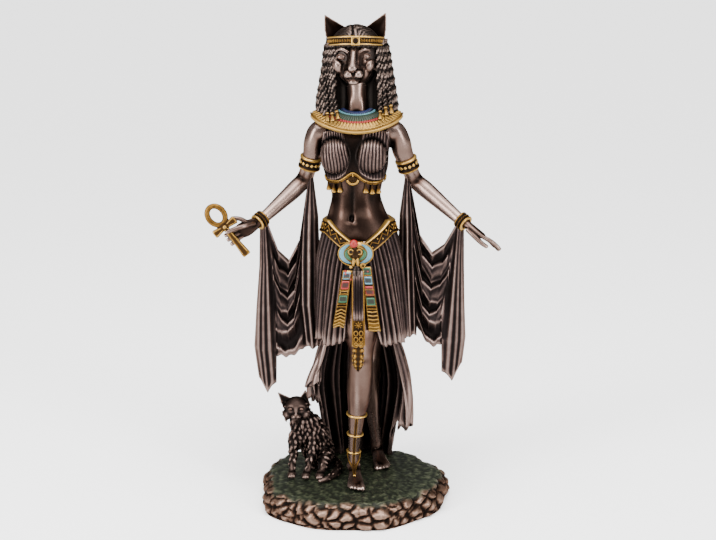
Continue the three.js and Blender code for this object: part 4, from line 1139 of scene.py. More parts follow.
# %% [markdown]
# The buckle is a winged scarab under a sun. Its wings are nested crescents of pale blue and green
# enamel between gilt rims, its body is gilt with two round hollows, and below it hang a beetle, a
# bowl of red beads and a small coil.

# %% The scarab buckle
BUCKLE = np.array([0.3, -17.6, 150.4])


def crescent(name, side, radii, depth, turn_from, turn_to, bulge=0.5):
    """A curved feather beside the scarab between two ellipses, swept from angle to angle."""
    (inner_x, inner_z), (outer_x, outer_z) = radii
    rows = []
    for a in np.linspace(turn_from, turn_to, 30):
        taper = math.sin(math.pi * (a - turn_from) / (turn_to - turn_from)) ** 0.45
        middle = np.array([(inner_x + outer_x) / 2 * math.cos(a) * side, 0, (inner_z + outer_z) / 2 * math.sin(a)])
        half = np.array([(outer_x - inner_x) / 2 * math.cos(a) * side, 0, (outer_z - inner_z) / 2 * math.sin(a)]) * max(taper, 0.1)
        row = []
        for b in np.linspace(0, TAU, 14, endpoint=False):
            row.append(BUCKLE + middle + half * math.cos(b) - (0, depth + bulge * math.sin(b) * max(taper, 0.2), 0))
        rows.append(row)
    return skin(name, rows)


def sun_rim(points, radius=0.34, closed=False, rings=48):
    return wire("rim", [BUCKLE + p for p in points], radius, 6, rings, front=(0, -1, 0.01), closed=closed)


wings_sky = [crescent("wing", s, ((6.4, 4.6), (9.2, 6.6)), 0.6, -1.25, 1.15) for s in (-1, 1)]
wings_sky = joined("buckle_outer_wings", wings_sky)
wings_green = [crescent("wing", s, ((4.0, 2.6), (6.1, 4.4)), 0.9, -1.25, 0.75) for s in (-1, 1)]
wings_green = joined("buckle_inner_wings", wings_green)
sun = ball("buckle_sun", BUCKLE + (-1.0, -1.2, 5.7), (2.35, 1.7, 2.35))
gold = []
for s in (-1, 1):
    for rx, rz in ((9.5, 6.9), (6.3, 4.5), (3.9, 2.6)):
        arc = [(s * rx * math.cos(a), -0.7, rz * math.sin(a)) for a in np.linspace(-1.35, 1.25, 16)]
        gold.append(sun_rim(arc, 0.36 if rx > 9 else 0.28))
    ring_line = [(s * 2.3 - 0.3 + 1.35 * math.cos(a), -1.7, 1.2 + 1.35 * math.sin(a)) for a in np.linspace(0, TAU, 12, endpoint=False)]
    gold.append(sun_rim(ring_line, 0.42, closed=True))
    gold.append(sweep("leg", [(*(BUCKLE + (s * 1.0, -1.3, -2.2)), 0.75, 0.7), (*(BUCKLE + (s * 1.15, -1.7, -4.4)), 0.85, 0.8),
                              (*(BUCKLE + (s * 1.3, -1.5, -6.6)), 0.8, 0.6)], 10, 14))
gold.append(welded("scarab", [
    ball("body", BUCKLE + (-0.2, -0.9, 0.2), (2.6, 1.5, 3.6)), ball("head", BUCKLE + (-0.3, -1.3, 3.2), (1.3, 1.2, 1.1)),
    ball("chest", BUCKLE + (-0.2, -1.4, -1.4), (1.9, 1.3, 1.4))], 0.22, 2))
back_plate = skin("plate", [[BUCKLE + (rx * math.cos(a), y, rx * 0.7 * math.sin(a)) for rx, y in
                             ((0.4, -0.2), (8.6, -0.1), (9.3, 0.6), (9.2, 3.4), (0.4, 3.4))]
                            for a in np.linspace(0, TAU, 64, endpoint=False)], closed=True)
gold.append(back_plate)
coil = [(3.9 + 1.5 * math.cos(a) * (1 - a / 22), -1.3 - 0.03 * a, -6.6 + 1.5 * math.sin(a) * (1 - a / 22)) for a in np.linspace(0, 11, 30)]
gold.append(sun_rim(coil, 0.34, rings=70))
gold.append(ball("knot", BUCKLE + (-2.6, -0.8, -7.4), (1.1, 0.9, 1.0), segments=12, rings=8))
buckle_gold = joined("buckle_gilding", gold)
hollows = joined("buckle_hollows", [ball("hollow", BUCKLE + (s * 2.3 - 0.3, -1.35, 1.2), (1.25, 0.5, 1.25)) for s in (-1, 1)]
                 + [ball("beetle", BUCKLE + (0.5, -0.9, -10.4), (2.6, 2.0, 3.4)),
                    ball("beetle_head", BUCKLE + (0.5, -1.2, -7.3), (1.6, 1.4, 1.2))])
dab(hollows, [(0.8, -21, 140, (0.25, 3, 3.4), -0.5), (0.8, -20.6, 141.6, (3, 3, 0.3), -0.4)])
beads = []
for n, a in enumerate(np.linspace(math.pi * 1.0, TAU, 13)):
    beads.append(ball("bead", BUCKLE + (0.5 + 6.1 * math.cos(a), -0.9, -9.8 + 5.2 * math.sin(a)), (0.85, 0.8, 0.85), segments=12, rings=8))
for n, a in enumerate(np.linspace(math.pi * 1.12, TAU * 0.94, 8)):
    beads.append(ball("bead", BUCKLE + (0.5 + 4.5 * math.cos(a), -0.9, -9.8 + 3.7 * math.sin(a)), (0.6, 0.7, 0.6), segments=12, rings=8))
beads = joined("buckle_red_beads", beads)
seat = skin("seat", [[BUCKLE + (0.5 + r * math.cos(a), y, -9.8 + r * 0.84 * math.sin(a)) for r, y in
                      ((0.3, -0.1), (6.3, 0.0), (6.9, 0.6), (6.6, 3.0), (0.3, 3.0))]
                     for a in np.linspace(0, TAU, 48, endpoint=False)], closed=True)
seat.name = "buckle_seat"
for part, finish, relief in ((wings_sky, sky_enamel, 0.3), (wings_green, green_enamel, 0.3), (sun, red_enamel, 0.6),
                             (buckle_gold, old_gold, 0.2), (hollows, hair_bronze, 0.4), (beads, red_enamel, 0.3),
                             (seat, cloth_bronze, 0.3)):
    weather(part, relief=relief, rounds=5)
    finish_piece(part, "gilt", finish)

# %% [markdown]
# Two streamers hang beside a long central tab. Each streamer is a stack of coloured plates with gilt
# bars between them and chevrons below. The tab is plain pleated cloth above, and ends in openwork
# with a flower and a pendant. All three follow the fall of the skirt.

# %% The streamers and the tab
def hang(top, bottom, wide_top, wide_bottom, t, across, out=0.0):
    """A point on a hanging strip: t runs down it and across from -1 to 1."""
    top, bottom = np.array(top, float), np.array(bottom, float)
    p = blend(top, bottom, t) + (blend(wide_top, wide_bottom, t) * across, -out, 0)
    return p


def strip(name, ends, t0, t1, out, margin=0.0, inset=1.0, ripple=0.0):
    """A slightly domed plate across a hanging strip between t0 and t1."""
    rows = []
    for t in np.linspace(t0 + margin, t1 - margin, 10):
        front = [hang(*ends, t, s * inset, out * (1 - 0.25 * s * s) + ripple * abs(math.sin(s * 7))) for s in np.linspace(-1, 1, 21)]
        back = [hang(*ends, t, s * inset, -1.0) for s in np.linspace(1, -1, 21)]
        rows.append(front + back)
    return skin(name, rows, zipped=True)


LEFT_STREAMER = ((-4.2, -18.0, 141), (-9.0, -21.4, 110.6), 2.2, 2.9)
RIGHT_STREAMER = ((6.2, -18.0, 143), (10.8, -21.6, 107.6), 2.2, 3.0)
streamer_colours = {"red": [], "sky": [], "green": [], "gold": []}
LAYOUT = [
    (LEFT_STREAMER, [("sky", 0.02, 0.16), ("red", 0.18, 0.34), ("gold", 0.36, 0.42), ("green", 0.44, 0.58)]),
    (RIGHT_STREAMER, [("green", 0.0, 0.12), ("sky", 0.14, 0.27), ("red", 0.29, 0.45), ("green", 0.47, 0.6)])]
for ends, plates in LAYOUT:
    streamer_colours["gold"].append(strip("backing", ends, 0, 1, 0.25, inset=1.06))
    for colour, t0, t1 in plates:
        streamer_colours[colour].append(strip("plate", ends, t0, t1, 0.95, margin=0.008, inset=0.86))
    for t in (0.13, 0.35, 0.43, 0.6, 0.65):
        bar = [hang(*ends, t, s, 0.8) for s in (-1, 0, 1)]
        streamer_colours["gold"].append(wire("bar", bar, 0.3, 6, 10, front=(0, -1, 0.01)))
    for t in (0.7, 0.76, 0.82, 0.88, 0.94, 0.99):
        bend = 0.035 * (1 if ends is LEFT_STREAMER else -0.3)
        bar = [hang(*ends, t + bend * abs(s), s, 0.8) for s in (-1, -0.5, 0, 0.5, 1)]
        streamer_colours["gold"].append(wire("chevron", bar, 0.42, 6, 14, front=(0, -1, 0.01)))
    for s in (-1, 1):
        side_line = [hang(*ends, t, s * 1.02, 0.4) for t in np.linspace(0, 1, 5)]
        streamer_colours["gold"].append(wire("side", side_line, 0.28, 6, 30))
for colour, finish in (("red", red_enamel), ("sky", sky_enamel), ("green", green_enamel), ("gold", old_gold)):
    part = joined("streamer_" + colour, streamer_colours[colour])
    weather(part, relief=0.25, rounds=5)
    finish_piece(part, "gilt", finish)

TAB = ((1.6, -18.4, 141), (1.9, -25.0, 100), 3.0, 3.3)
tab = [strip("cloth", TAB, 0, 0.66, 0.7, ripple=0.35)]
tab_gold = [strip("backing", TAB, 0.62, 1.0, 0.2, inset=0.9)]
for s in (-1, 1):
    tab_gold.append(wire("side", [hang(*TAB, t, s, 0.4) for t in np.linspace(0, 1, 5)], 0.42, 8, 60))
FLOWER = hang(*TAB, 0.72, 0, 0.9)
for a in np.arange(8) / 8 * TAU:
    petal = FLOWER + (1.25 * math.cos(a), 0, 1.25 * math.sin(a))
    tab_gold.append(ball("petal", petal, (0.85, 0.55, 0.45), (0, -a, 0), segments=12, rings=8))
tab_gold.append(ball("heart", FLOWER - (0, 0.4, 0), (0.7, 0.6, 0.7), segments=12, rings=8))
for n, t in enumerate((0.83, 0.91, 0.985)):
    for s in (-1, 1):
        loop = [hang(*TAB, t, 0, 0.7) + (s * 1.45 + 1.0 * math.cos(a), 0, 1.25 * math.sin(a)) for a in np.linspace(0, TAU, 10, endpoint=False)]
        tab_gold.append(wire("loop", loop, 0.34, 6, 26, front=(0, -1, 0.01), closed=True))
PENDANT = [(1.9, -24.8, 100.4), (1.7, -24.6, 94), (1.6, -23.0, 88), (1.6, -21.4, 84.6)]
tab_gold.append(sweep("pendant", [(*PENDANT[0], 2.6, 0.8), (*PENDANT[1], 2.9, 1.1), (*PENDANT[2], 2.4, 1.4), (*PENDANT[3], 0.5, 0.6)], 24, 40,
                      shape=lambda along, angle: 1 + 0.12 * np.cos(6 * angle) + 0.1 * np.cos(along * 40)))
for s in (-1, 1):
    for n, z in enumerate((97.5, 93.2, 89.4)):
        tab_gold.append(ball("berry", (1.7 + s * (2.3 - 0.5 * n), -25.2 + 0.7 * n, z), (0.95, 0.9, 1.15), segments=14, rings=10))
tab = joined("tab_cloth", tab)
weather(tab, relief=0.2, rounds=5)
finish_piece(tab, "figure_bronze", cloth_bronze)
tab_gold = joined("tab_gilding", tab_gold)
weather(tab_gold, relief=0.22, rounds=5)
finish_piece(tab_gold, "gilt", old_gold)

# %% [markdown]
# The skirt is one thin pleated shell that hangs from under the belt, open in front, where it parts
# in a tent over the legs. Its pleats fan out from the buckle. They are cut as a rounded zigzag whose
# height grows towards the hem, and the hem is hollow behind.

# %% The pleated skirt
SKIRT_POINTS, PLEATS = 520, 42
pleat_rng = np.random.default_rng(4)
PLEAT_EDGES = np.cumsum(np.concatenate([[0], pleat_rng.uniform(0.65, 1.35, PLEATS)]))
PLEAT_EDGES = PLEAT_EDGES / PLEAT_EDGES[-1] * SKIRT_POINTS
PLEAT_HEIGHTS = pleat_rng.uniform(0.55, 1.2, PLEATS)


def raised(x, centre, reach):
    return float(ease(reach - abs(x - centre), 0, reach))


def skirt_point(j, share, out, lift=0.0):
    """j counts points round the skirt and share runs down it."""
    n = int(np.searchsorted(PLEAT_EDGES, j + 0.01) - 1)
    phase = (j - PLEAT_EDGES[n]) / (PLEAT_EDGES[n + 1] - PLEAT_EDGES[n])
    pleat = math.sin(math.pi * min(max(phase, 0.0), 1.0)) ** 0.8 * PLEAT_HEIGHTS[n]
    turn = (j / SKIRT_POINTS * TAU + math.pi) % TAU - math.pi
    fan = turn * (1 - 0.5 * (1 - share) * math.cos(turn / 2) ** 2)
    a = fan - math.pi / 2
    parting = 34 * raised(turn, 0.02, 0.52) ** 1.1
    hem = 98.4 + parting + 1.6 * (0.5 - pleat) + 3 * float(ease(math.sin(a), 0.2, 0.9)) + 0.9 * math.sin(turn * 9)
    z = blend(belt_top(a) - 5.5, hem, share) + lift
    x, y, wide, deep = hips(z)
    wave = (0.5 * math.sin(turn * 8 + 1.1) + 0.4 * math.sin(turn * 13 + 0.4)) * share
    reach = out + (pleat - 0.5) * blend(0.6, 1.9, share**0.7) + wave
    return (x + (wide + reach) * math.cos(a), y + (deep + reach) * math.sin(a), z)


around = range(SKIRT_POINTS)
rows = [[skirt_point(j, s, 1.0 + 0.6 * s) for j in around] for s in np.linspace(0, 1, 34)]
rows += [[skirt_point(j, s, -0.9) for j in around] for s in np.linspace(1, 0.62, 10)]
skirt = skin("skirt", rows)
weather(skirt, relief=0.17, rounds=7)
finish_piece(skirt, "figure_bronze", cloth_bronze, "bastet_figure")

# %% [markdown]
# The train hangs behind the legs as a curved sheet and stands on the ground. Deep folds run down it
# and fan out towards the hem, rounded inside and creased outside. Its hem rises at both sides in
# ruffles. The sheet is thin, and its inside, which faces us, is finished like its back.

# %% The train
TRAIN_TOP, TRAIN_REACH, CLOTH = 108.0, 2.15, 2.2


def squarish(v):
    return math.copysign(abs(v) ** 0.72, v)


def train_point(u, v):
    phi = (0.5 - u) * 2 * TRAIN_REACH
    if phi > 0:
        hem = blend(GROUND - 0.6, 46, float(ease(phi, 0.75, 1.15)))
    else:
        hem = blend(GROUND - 0.6, 57, float(ease(-phi, 0.85, 1.15))) + 15 * float(ease(-phi, 1.35, 1.8))
    side_hem = float(ease(abs(phi), 0.85, 1.25))
    zigzag = abs((u * 34 + 0.1 * math.sin(9 * u)) % 1 - 0.5) * 4 - 1
    z = blend(TRAIN_TOP, hem + 1.8 * zigzag * side_hem * v, v)
    drop = (140 - z) / (140 - GROUND)
    swell = math.sin(math.pi * min(1, drop * 1.02)) * float(ease(drop, 0.2, 0.65))
    wide = (blend(17, 23, drop) if phi > 0 else blend(16, 20, drop)) + 9 * swell
    deep = blend(12, 41, drop**1.15)
    big = 1 - 2 * abs(math.sin(math.pi * 9 * u + 0.35 * math.sin(3.2 * v))) ** 1.1
    small = math.cos(u * 23 * TAU + 1.5 * math.sin(2.5 * v))
    wave = big * blend(0.4, 2.9, drop) + small * blend(0.2, 0.7, drop)
    wave += 1.9 * math.sin(math.pi * (u * 34)) * side_hem * float(ease(v, 0.45, 1))
    side, back = squarish(math.sin(phi)), squarish(math.cos(phi))
    return np.array([blend(2.2, 1.6, drop) + (wide + wave) * side,
                     blend(2, 1, drop) + (deep + wave) * back * (0.4 if back < 0 else 1), z])


def sheet(name, face, across, down, thickness):
    """A closed sheet over face(u, v), as thick as given behind its front."""
    grid = np.array([[face(i / across, j / down) for i in range(across + 1)] for j in range(down + 1)])
    over = np.gradient(grid, axis=1)
    below = np.gradient(grid, axis=0)
    behind = unit(np.cross(below, over))
    back = grid + behind * thickness
    return skin(name, [np.vstack([front, rear[::-1]]) for front, rear in zip(grid, back)], zipped=True)


train = sheet("train", train_point, 300, 40, CLOTH * 0.8)
weather(train, relief=0.2, rounds=8)
finish_piece(train, "figure_bronze", cloth_bronze, "bastet_figure")

# %% [markdown]
# The shawl hangs from both arms. On each side a fluted column falls from the upper arm, another fall
# hangs from the forearm, and between them the cloth swags in nested folds that flatten towards the
# hem. A table holds the outline of each side, and the folds are ridges along lines of equal share
# between its upper edge and its hem,
# steep above and running out below, as cloth lies when it is lifted at two ends.

# %% The shawl
WINGS = {
    "right": {
        "column": {"top": 192, "bottom": 92.5, "x": [24.8, 25, 25.3, 25.9, 24.4], "half": [1, 4.3, 5.4, 5.3, 4.4],
                   "y": [8.4, 6, 3.6, 2, 1.4], "deep": [3.6, 5.6, 7, 7.4, 5]},
        "fall": {"top": 166.5, "bottom": 68, "x": [50.6, 50, 50.4, 51, 49.8], "half": [2, 3.3, 5, 6, 5],
                 "y": [-7.4, -7.2, -6.6, -6, -4.6], "deep": [4.4, 5.6, 6.2, 6, 4]},
        "edge": [192, 153.8, 143.2, 149.6, 166.5], "hem": [92.5, 89.6, 88, 88.4, 89.4], "corners": (5.5, 8)},
    "left": {
        "column": {"top": 191, "bottom": 99, "x": [29.2, 28.7, 28.6, 29.6, 31.2], "half": [1, 3.7, 4.4, 4.6, 3.8],
                   "y": [8.4, 6.6, 5, 3.8, 3], "deep": [3.6, 5.4, 6.4, 6.4, 4.6]},
        "fall": {"top": 165.4, "bottom": 75, "x": [58.2, 57.2, 56.3, 55.6, 54.9], "half": [2, 3.4, 5, 6.7, 5.8],
                 "y": [-7.4, -7.2, -6.6, -6, -4.6], "deep": [4.4, 5.6, 6.2, 6, 4]},
        "edge": [191, 156.6, 147.6, 153, 165.4], "hem": [105, 98.6, 94.6, 94, 96.5], "corners": (5, 10)}}
COLUMN_END, FALL_START = 0.25, 0.75


def along(values, t):
    return float(np.interp(t, np.linspace(0, 1, len(values)), values))


def ridge(x, centre, width):
    return math.exp(-(((x - centre) / width) ** 2))


SWAGS = [(0.02, 1.1), (0.2, 2.3), (0.31, 0.8), (0.42, 2.4), (0.55, 0.9), (0.66, 2.2), (0.78, 0.8), (0.93, 1.9)]


def swag(w, v):
    """Height of the nested folds: each is steep above and runs out below."""
    height = 0.0
    for n, (level, size) in enumerate(SWAGS):
        at = level + 0.03 * math.sin(2.6 * n + 4 * w) + 0.05 * (abs(w - 0.5 - 0.06 * math.sin(n * 2.1)) - 0.25)
        reach = math.sin(math.pi * min(1, max(0, w * (1 + 0.12 * math.sin(n * 1.7))))) ** 0.45
        away = v - at
        height += size * reach * (math.exp(-away / 0.055) if away > 0 else math.exp(-((away / 0.022) ** 2)))
    return height


def wing_point(wing, u, v):
    """Place and depth of the shawl: u runs outwards from the body and v down."""
    column, fall = wing["column"], wing["fall"]

    def hanging(part, s, ridges):
        s_here = s + 0.1 * math.sin(4.2 * v + part["top"])
        lift = sum(size * ridge(s_here, centre, width) for centre, width, size in ridges) - 0.35
        return [along(part["x"], v) + along(part["half"], v) * s, along(part["y"], v),
                blend(part["top"], part["bottom"], v), blend(CLOTH, along(part["deep"], v), 1 - s * s),
                lift * blend(0.35, 1, min(1, 2 * v))]

    column_ridges = [(-0.62, 0.2, 0.7), (0.08, 0.34, 1.9), (0.78, 0.17, 0.9)]
    fall_ridges = [(-0.5, 0.26, 1.3), (0.12, 0.2, 0.9), (0.62, 0.24, 1.3)]
    if u <= COLUMN_END:
        x, y, z, deep, lift = hanging(column, u / COLUMN_END * 2 - 1, column_ridges)
    elif u >= FALL_START:
        s = (u - FALL_START) / (1 - FALL_START) * 2 - 1
        x, y, z, deep, lift = hanging(fall, s, fall_ridges)
        z += abs(s) * wing["corners"][0 if s < 0 else 1] * v**4
    else:
        w = (u - COLUMN_END) / (FALL_START - COLUMN_END)
        a, b = hanging(column, 1, column_ridges), hanging(fall, -1, fall_ridges)
        hump = math.sin(math.pi * w) ** 0.7
        z = blend(along(wing["edge"], w), along(wing["hem"], w), v)
        x, y = blend(a[0], b[0], w), blend(a[1], b[1], w) - 1.2 * hump * math.cos(v * 4 * TAU)
        lift = blend(a[4], b[4], w) * (1 - hump) + swag(w, v) - 0.9 * hump
        deep = CLOTH
    return x, y, z, deep, lift


def shawl(name, side, wing):
    across, down = 112, 112
    rows = []
    for j in range(down + 1):
        front, back = [], []
        for i in range(across + 1):
            x, y, z, deep, lift = wing_point(wing, i / across, j / down)
            hem = 0.7 * math.sin(i / across * 13 * math.pi) * (j / down) ** 6
            front.append((side * x, y - deep / 2 - lift, z + hem))
            back.append((side * x, y + deep / 2 - lift * 0.8, z + hem))
        rows.append(front + back[::-1])
    piece = skin(name, rows, zipped=True)
    weather(piece, relief=0.2, rounds=9)
    return finish_piece(piece, "figure_bronze", cloth_bronze, "bastet_figure")


shawl("right_shawl", -1, WINGS["right"])
shawl("left_shawl", 1, WINGS["left"])

# %% [markdown]
# The ankh is a flat casting with rounded edges: a loop, two flared arms and a long flared stem, with
# a groove that follows its outline and a small boss where the parts meet. It hangs in the fist at a
# slant.

# %% The ankh
ANKH_AT, ANKH_LEAN = np.array([-71.2, -15.4, 164.8]), 0.655


def ankh_point(x, y, z):
    c, s = math.cos(-ANKH_LEAN), math.sin(-ANKH_LEAN)
    return ANKH_AT + np.array([x * c + z * s, y, -x * s + z * c])


def bar(name, ends, thick=1.25):
    """A flat arm of the ankh through (x, z, half width) with soft edges."""
    rows = []
    for x, z, half, turn in ends:
        row = []
        for a in np.linspace(0, TAU, 24, endpoint=False):
            across = math.copysign(abs(math.cos(a)) ** 0.6, math.cos(a)) * half
            deep = math.copysign(abs(math.sin(a)) ** 0.6, math.sin(a)) * thick
            row.append(ankh_point(x + across * math.cos(turn), deep, z + across * math.sin(turn)))
        rows.append(row)
    return skin(name, rows)


QUARTER = math.pi / 2
loop = []
for a in np.linspace(0, TAU, 60, endpoint=False):
    middle = (0.2 + 4.5 * math.cos(a), 7.85 + 5.6 * math.sin(a))
    half = (1.6 * math.cos(a), 1.5 * math.sin(a))
    loop.append([ankh_point(middle[0] + half[0] * math.cos(b), 1.25 * math.sin(b), middle[1] + half[1] * math.cos(b))
                 for b in np.linspace(0, TAU, 16, endpoint=False)])
parts = [
    skin("loop", loop, closed=True),
    bar("stem", [(0, 1.5, 1.5, 0), (0, -4, 1.6, 0), (0, -12, 1.9, 0), (0, -18.6, 2.4, 0), (0, -19.7, 2.2, 0)]),
    bar("arms", [(-7.3, 0, 2.0, QUARTER), (-6.6, 0, 2.4, QUARTER), (-2, 0, 1.6, QUARTER), (2, 0, 1.6, QUARTER),
                 (6.6, 0, 2.4, QUARTER), (7.3, 0, 2.0, QUARTER)])]
ankh = welded("gilt_ankh", parts, 0.32, 2)
rims = []
for line in ([(-1.0, -1.3), (-1.2, -8), (-1.5, -17.6)], [(1.0, -1.3), (1.2, -8), (1.5, -17.6)],
             [(-6.4, 1.5), (-2.2, 0.85)], [(-6.4, -1.5), (-2.2, -0.85)], [(6.4, 1.5), (2.2, 0.85)], [(6.4, -1.5), (2.2, -0.85)]):
    for front in (-1, 1):
        rims.append(wire("rim", [ankh_point(x, 1.2 * front, z) for x, z in line], 0.24, 6, 16, front=(0, -1, 0.01)))
rims.append(ball("boss", ankh_point(0, -1.15, 0), (1.1, 0.55, 1.1), segments=16, rings=10))
ankh = joined("gilt_ankh", [ankh, *rims])
weather(ankh, relief=0.16, rounds=6)
finish_piece(ankh, "gilt", old_gold, "ankh")

# %% [markdown]
# The cat sits upright with its tail round its side and looks a little past us. Its body, head and
# legs are swept and melted to one skin with a few hundred tapered locks of fur, which lie down and
# outwards over one another. Face and paws stay short-haired and are modelled with dabs.

# %% The seated cat
cat_rng = np.random.default_rng(11)
CAT = {
    "body": [(-21, 14, 16.2, 7.2, 7.2), (-21.4, 13.6, 23, 8.6, 9.0), (-23.6, 12, 31, 8.8, 8.8),
             (-27, 8.6, 39, 9.3, 8.2), (-30.2, 6.2, 46, 7.6, 6.8), (-32.6, 4.6, 52, 5.6, 5.4)],
    "haunch": [(-18.4, 11, 25, 4.9, 7.4), (-17.8, 4.6, 23.4, 3.8, 6.2), (-19.4, -1.6, 18.9, 2.4, 2.9), (-20.6, -5.2, 17.3, 2.2, 1.9)],
    "right_foreleg": [(-34.0, 4.6, 40, 4.0, 4.4), (-35.8, 2.6, 30, 2.7, 2.9), (-36.6, -0.4, 21, 1.9, 2.1), (-36.8, -3.0, 17.3, 2.3, 2.0)],
    "left_foreleg": [(-25.0, 3.6, 37, 3.5, 3.9), (-25.0, 0.8, 29, 2.6, 2.8), (-27.0, -2.0, 21, 2.0, 2.2), (-28.4, -4.4, 17.3, 2.4, 2.0)],
    "tail": [(-14, 18, 18.6, 2.4, 2.4), (-9.8, 9, 17.8, 2.2, 2.2), (-11.4, -3, 17.3, 2.0, 2.0), (-16, -10.6, 17.0, 1.8, 1.6), (-21, -14.8, 16.8, 1.0, 1.0)]}
HEAD = np.array([-34.0, 2.8, 55.4])
parts = [sweep(name, stations, 28, 40) for name, stations in CAT.items()]
parts.append(ball("skull", HEAD, (7.3, 6.6, 6.6), (0, 0, 0.1)))
parts.append(ball("muzzle", HEAD + (0, -5.6, -3.6), (3.1, 2.9, 2.4)))
parts.append(ball("chin", HEAD + (0, -5.4, -5.4), (1.8, 1.9, 1.4)))
for s in (-1, 1):
    parts.append(ball("cheek", HEAD + (s * 4.6, -2.0, -3.2), (3.4, 3.4, 3.2)))
for x, y in ((-36.8, -4.6), (-28.6, -6.0), (-20.6, -6.6)):
    parts.append(ball("paw", (x, y, 17.1), (2.6, 3.1, 1.9)))
    for k in (-1.2, 0, 1.2):
        parts.append(ball("toe", (x + k * 1.15, y - 2.6 + 0.25 * abs(k), 16.7), (0.85, 1.3, 1.2), segments=14, rings=10))


def cat_ear(inner, outer, tip):
    """A pricked ear: a thin curved leaf between two feet and a tip, hollow in front."""
    inner, outer, tip = (np.array(p, float) for p in (inner, outer, tip))
    rows = []
    for t in np.linspace(0, 0.97, 14):
        a, b = blend(inner, tip, t), blend(outer, tip, t)
        bulge = (1 - t) ** 0.7
        front = [blend(a, b, s) + (0, 1.5 * math.sin(math.pi * s) * bulge, 0) for s in np.linspace(0, 1, 11)]
        back = [blend(a, b, s) + (0, 2.6 * math.sin(math.pi * s) * bulge + 0.9, 0) for s in np.linspace(1, 0, 11)]
        rows.append(front + back)
    return skin("ear", rows, zipped=True)


parts.append(cat_ear((-35.5, 1.4, 60.6), (-41.8, 2.2, 55.0), (-45.2, 2, 65.0)))
parts.append(cat_ear((-32.6, 1.4, 60.8), (-25.4, 2.2, 55.6), (-28.6, 0.8, 67.0)))
cat_core = welded("cat_core", parts, 0.4, 2)
core_tree = tree_of(cat_core)
outline = points_of(cat_core)
facing = normals_of(cat_core)


def fur_flow(p, out):
    """The way the hair lies: down and back, and along the tail and the haunch."""
    flow = np.array([0.0, 0.15, -1.0])
    if p[2] < 20 and p[1] < 20 and p[0] > -20:
        flow = np.array([-0.25, -1.0, -0.1])
    elif p[2] > 50:
        flow = np.array([(p[0] - HEAD[0]) * 0.12, 0.9, -0.5])
    elif p[0] > -24 and p[2] < 32:
        flow = np.array([0.3, 0.5, -0.9])
    flow = flow - out * float(flow @ out)
    return unit(flow + cat_rng.normal(0, 0.18, 3))


locks = []
chosen = cat_rng.permutation(len(outline))
taken = []
for n in chosen:
    p, out = outline[n], facing[n]
    face = p[2] > 49 and p[1] < 1.5 and abs(p[0] - HEAD[0]) < 5.6
    paw = p[2] < 20.5 and p[1] < -1 and p[0] < -15
    if face or paw or p[2] > 59 or p[2] < 16.6:
        continue
    gap = 1.9 if p[2] > 30 else 2.3
    if any(abs(p[0] - q[0]) < gap and abs(p[1] - q[1]) < gap and abs(p[2] - q[2]) < gap for q in taken[-1400:]):
        continue
    taken.append(p)
    flow = fur_flow(p, out)
    length = cat_rng.uniform(2.8, 4.4) * (1.15 if 36 < p[2] < 50 and p[1] < 4 else 1) * (0.62 if p[2] < 24 or p[2] > 50 else 1)
    girth = length * 0.24
    root = p - out * girth * 0.9 - flow * length * 0.35
    tip_at = p + flow * length * 0.75 + out * girth * cat_rng.uniform(0.2, 0.6)
    middle = blend(root, tip_at, 0.5) + out * girth * 0.75
    locks.append(sweep("lock", [(*root, girth * 0.8, girth * 0.7), (*middle, girth, girth * 0.8), (*tip_at, 0.12, 0.12)], 7, 7, front=out))
    if len(taken) > 900:
        break
print("locks of fur", len(locks))
cat = welded("cat", [cat_core, *locks], 0.42, 1)
marks = [
    (HEAD[0] - 3.4, HEAD[1] - 6.0, HEAD[2] + 0.6, (1.9, 3, 1.3), -1.0), (HEAD[0] + 3.2, HEAD[1] - 6.2, HEAD[2] + 0.6, (1.9, 3, 1.3), -1.0),
    (HEAD[0], HEAD[1] - 7.0, HEAD[2] - 0.6, (0.9, 3, 2.2), 0.5), (HEAD[0], HEAD[1] - 8.6, HEAD[2] - 4.5, (2.4, 3, 0.35), -0.6),
    (HEAD[0], HEAD[1] - 8.6, HEAD[2] - 3.6, (0.3, 3, 0.9), -0.5),
    (HEAD[0] - 1.5, HEAD[1] - 8.2, HEAD[2] - 3.3, (1.1, 2, 0.9), 0.35), (HEAD[0] + 1.5, HEAD[1] - 8.2, HEAD[2] - 3.3, (1.1, 2, 0.9), 0.35)]
dab(cat, marks)
weather(cat, relief=0.16, rounds=8)
finish_piece(cat, "cat_bronze", fur_bronze, "seated_cat")
eyes = []
for x in (HEAD[0] - 3.3, HEAD[0] + 3.1):
    eyes.append(ball("eye", (x, HEAD[1] - 5.0, HEAD[2] + 0.5), (1.25, 0.9, 1.0), segments=20, rings=14))
eyes.append(ball("nose", HEAD + (0, -8.1, -2.5), (0.95, 0.7, 0.65), segments=16, rings=10))
eyes = joined("cat_eyes", eyes)
weather(eyes, relief=1.0, rounds=2)
finish_piece(eyes, "cat_bronze", skin_bronze)

# %% [markdown]
# The ground is a low slab of rock. Its plan is a soft square whose edge wanders, its side is broken
# into blocks with cracks between them, and its top is nearly flat and covered with moss. The rock is rubbed copper
# on its rim, so the finish reads a second attribute, "moss", which says where the top is.

# %% The rocky base
BASE_CENTRE, BASE_HALF = (-1.6, 3.6), (55.0, 50.0)


def plan(a):
    """Share of the half sizes at which the edge lies."""
    power = 2.15 if math.sin(a) > 0 else 2.45
    square = (abs(math.cos(a)) ** power + abs(math.sin(a)) ** power) ** (-1 / power)
    return square * (1 + 0.028 * math.sin(3 * a + 0.7) + 0.02 * math.sin(5 * a + 2.1) + 0.014 * math.sin(9 * a))


